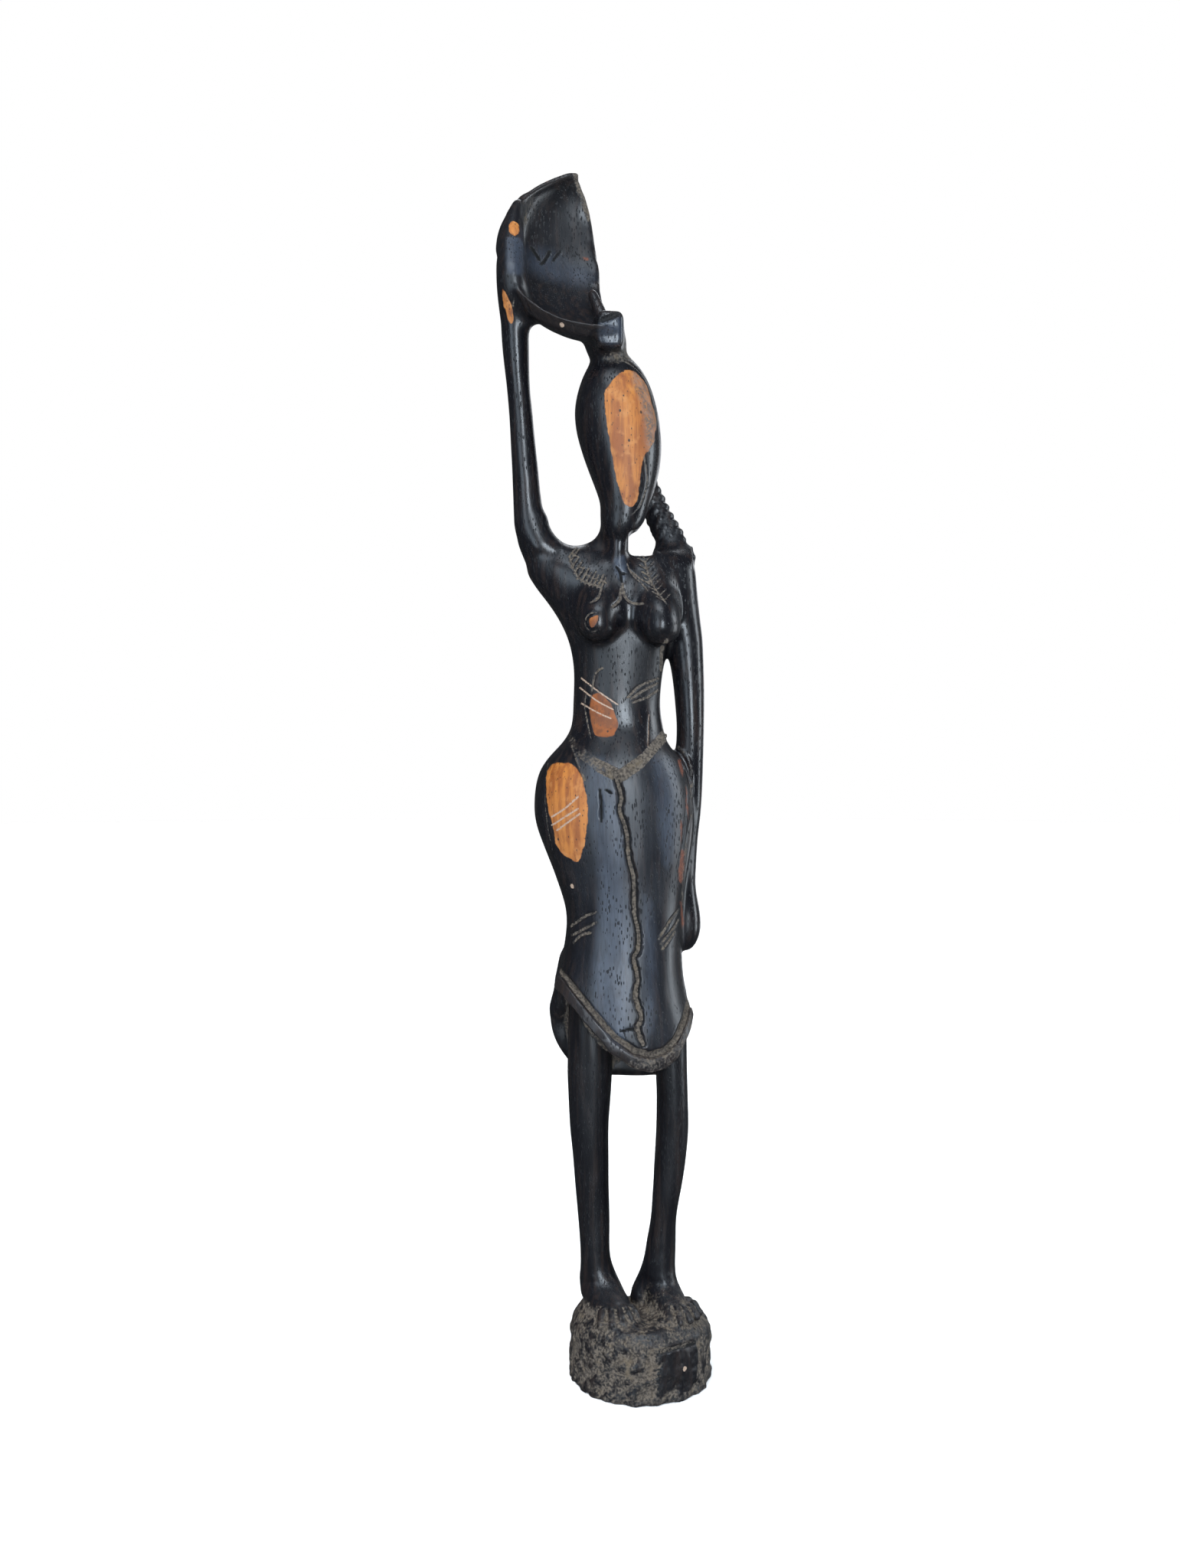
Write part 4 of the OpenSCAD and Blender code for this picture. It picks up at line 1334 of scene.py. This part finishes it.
# ---------------------------------------------------------------- studio

def plain(name, **inputs):
    """A material of one colour. Underscores in the names stand for the spaces in Blender's."""
    material = bpy.data.materials.new(name)
    material.use_nodes = True
    sockets = material.node_tree.nodes["Principled BSDF"].inputs
    sockets["Specular IOR Level"].default_value = 0.0
    for socket, value in inputs.items():
        sockets[socket.replace("_", " ")].default_value = value
    return material


def stage(name, points, faces, material):
    """A part of the studio. It isn't reflected in the black wood."""
    mesh = bpy.data.meshes.new(name)
    mesh.from_pydata(points, [], faces)
    mesh.materials.append(material)
    item = placed(name, mesh)
    item.visible_glossy = False
    return item


FLOOR_RADIUS = 6.0
WALL_HIGH = 6.0
turns = np.linspace(0, 2 * math.pi, 97)[:-1]
rim = [(FLOOR_RADIUS * math.cos(a), FLOOR_RADIUS * math.sin(a)) for a in turns]
count = len(rim)
stage("floor", [(x, y, 0) for x, y in rim], [tuple(range(count))],
      plain("pale_floor", Base_Color=(0.86, 0.86, 0.86, 1), Roughness=1.0))

# The backdrop is a tall white wall all round, with a lid. It glows evenly, and lights nothing.
sides = [(k, (k + 1) % count, count + (k + 1) % count, count + k) for k in range(count)]
glow = plain("white_backdrop", Base_Color=(0, 0, 0, 1), Emission_Color=(1, 1, 1, 1), Emission_Strength=1.0)
backdrop = stage("backdrop", [(x, y, z) for z in (-0.01, WALL_HIGH) for x, y in rim],
                 sides + [tuple(range(count, 2 * count))], glow)
backdrop.visible_diffuse = False
backdrop.visible_shadow = False

world = bpy.data.worlds.new("studio")
bpy.context.scene.world = world
world.use_nodes = True
world.node_tree.nodes["Background"].inputs["Color"].default_value = (0.85, 0.92, 1.0, 1)
world.node_tree.nodes["Background"].inputs["Strength"].default_value = 0.065


def lamp(name, light, place, target):
    holder = placed(name, light)
    holder.location = place
    holder.rotation_euler = (Vector(target) - Vector(place)).to_track_quat("-Z", "Y").to_euler()
    return holder


def softbox(name, place, target, size, power, colour):
    light = bpy.data.lights.new(name, "AREA")
    light.shape = "RECTANGLE"
    light.size, light.size_y = size
    light.energy = power
    light.color = colour
    lamp(name, light, place, target)


# The overhead light is too broad and even to show as a highlight.
overhead = bpy.data.lights.new("overhead", "SUN")
overhead.energy = 4.1
overhead.angle = math.radians(70)
lamp("overhead", overhead, (-0.4, -0.5, 1.6), (0, 0, 0)).visible_glossy = False
softbox("back_high", (0.10, 0.62, 0.98), (0, 0, 0.22), (0.5, 0.3), 1.7, (0.90, 0.94, 1.0))
softbox("back", (0.34, 0.80, 0.40), (0, 0, 0.18), (0.35, 0.9), 1.3, (0.90, 0.94, 1.0))
softbox("key", (-0.42, -0.75, 0.42), (0, 0, 0.16), (0.30, 0.9), 3.0, (0.72, 0.86, 1.0))
softbox("front", (0.16, -0.95, 0.38), (0, 0, 0.22), (0.16, 0.8), 9, (0.80, 0.90, 1.0))
softbox("side", (0.85, 0.05, 0.35), (0, 0, 0.2), (0.25, 0.9), 5, (0.85, 0.93, 1.0))
softbox("top", (-0.05, -0.55, 1.20), (0, 0, 0.36), (0.6, 0.12), 2.6, (0.80, 0.90, 1.0))

camera_data = bpy.data.cameras.new("camera")
camera_data.sensor_fit = "VERTICAL"
camera_data.sensor_height = 36
camera_data.lens = 27.16
camera_data.clip_start = 0.01
camera = placed("camera", camera_data)
camera.location = (-0.0163, -0.384, 0.1907)
camera.rotation_euler = (math.radians(90), 0, 0)
bpy.context.scene.camera = camera
bpy.context.scene.view_settings.view_transform = "Standard"
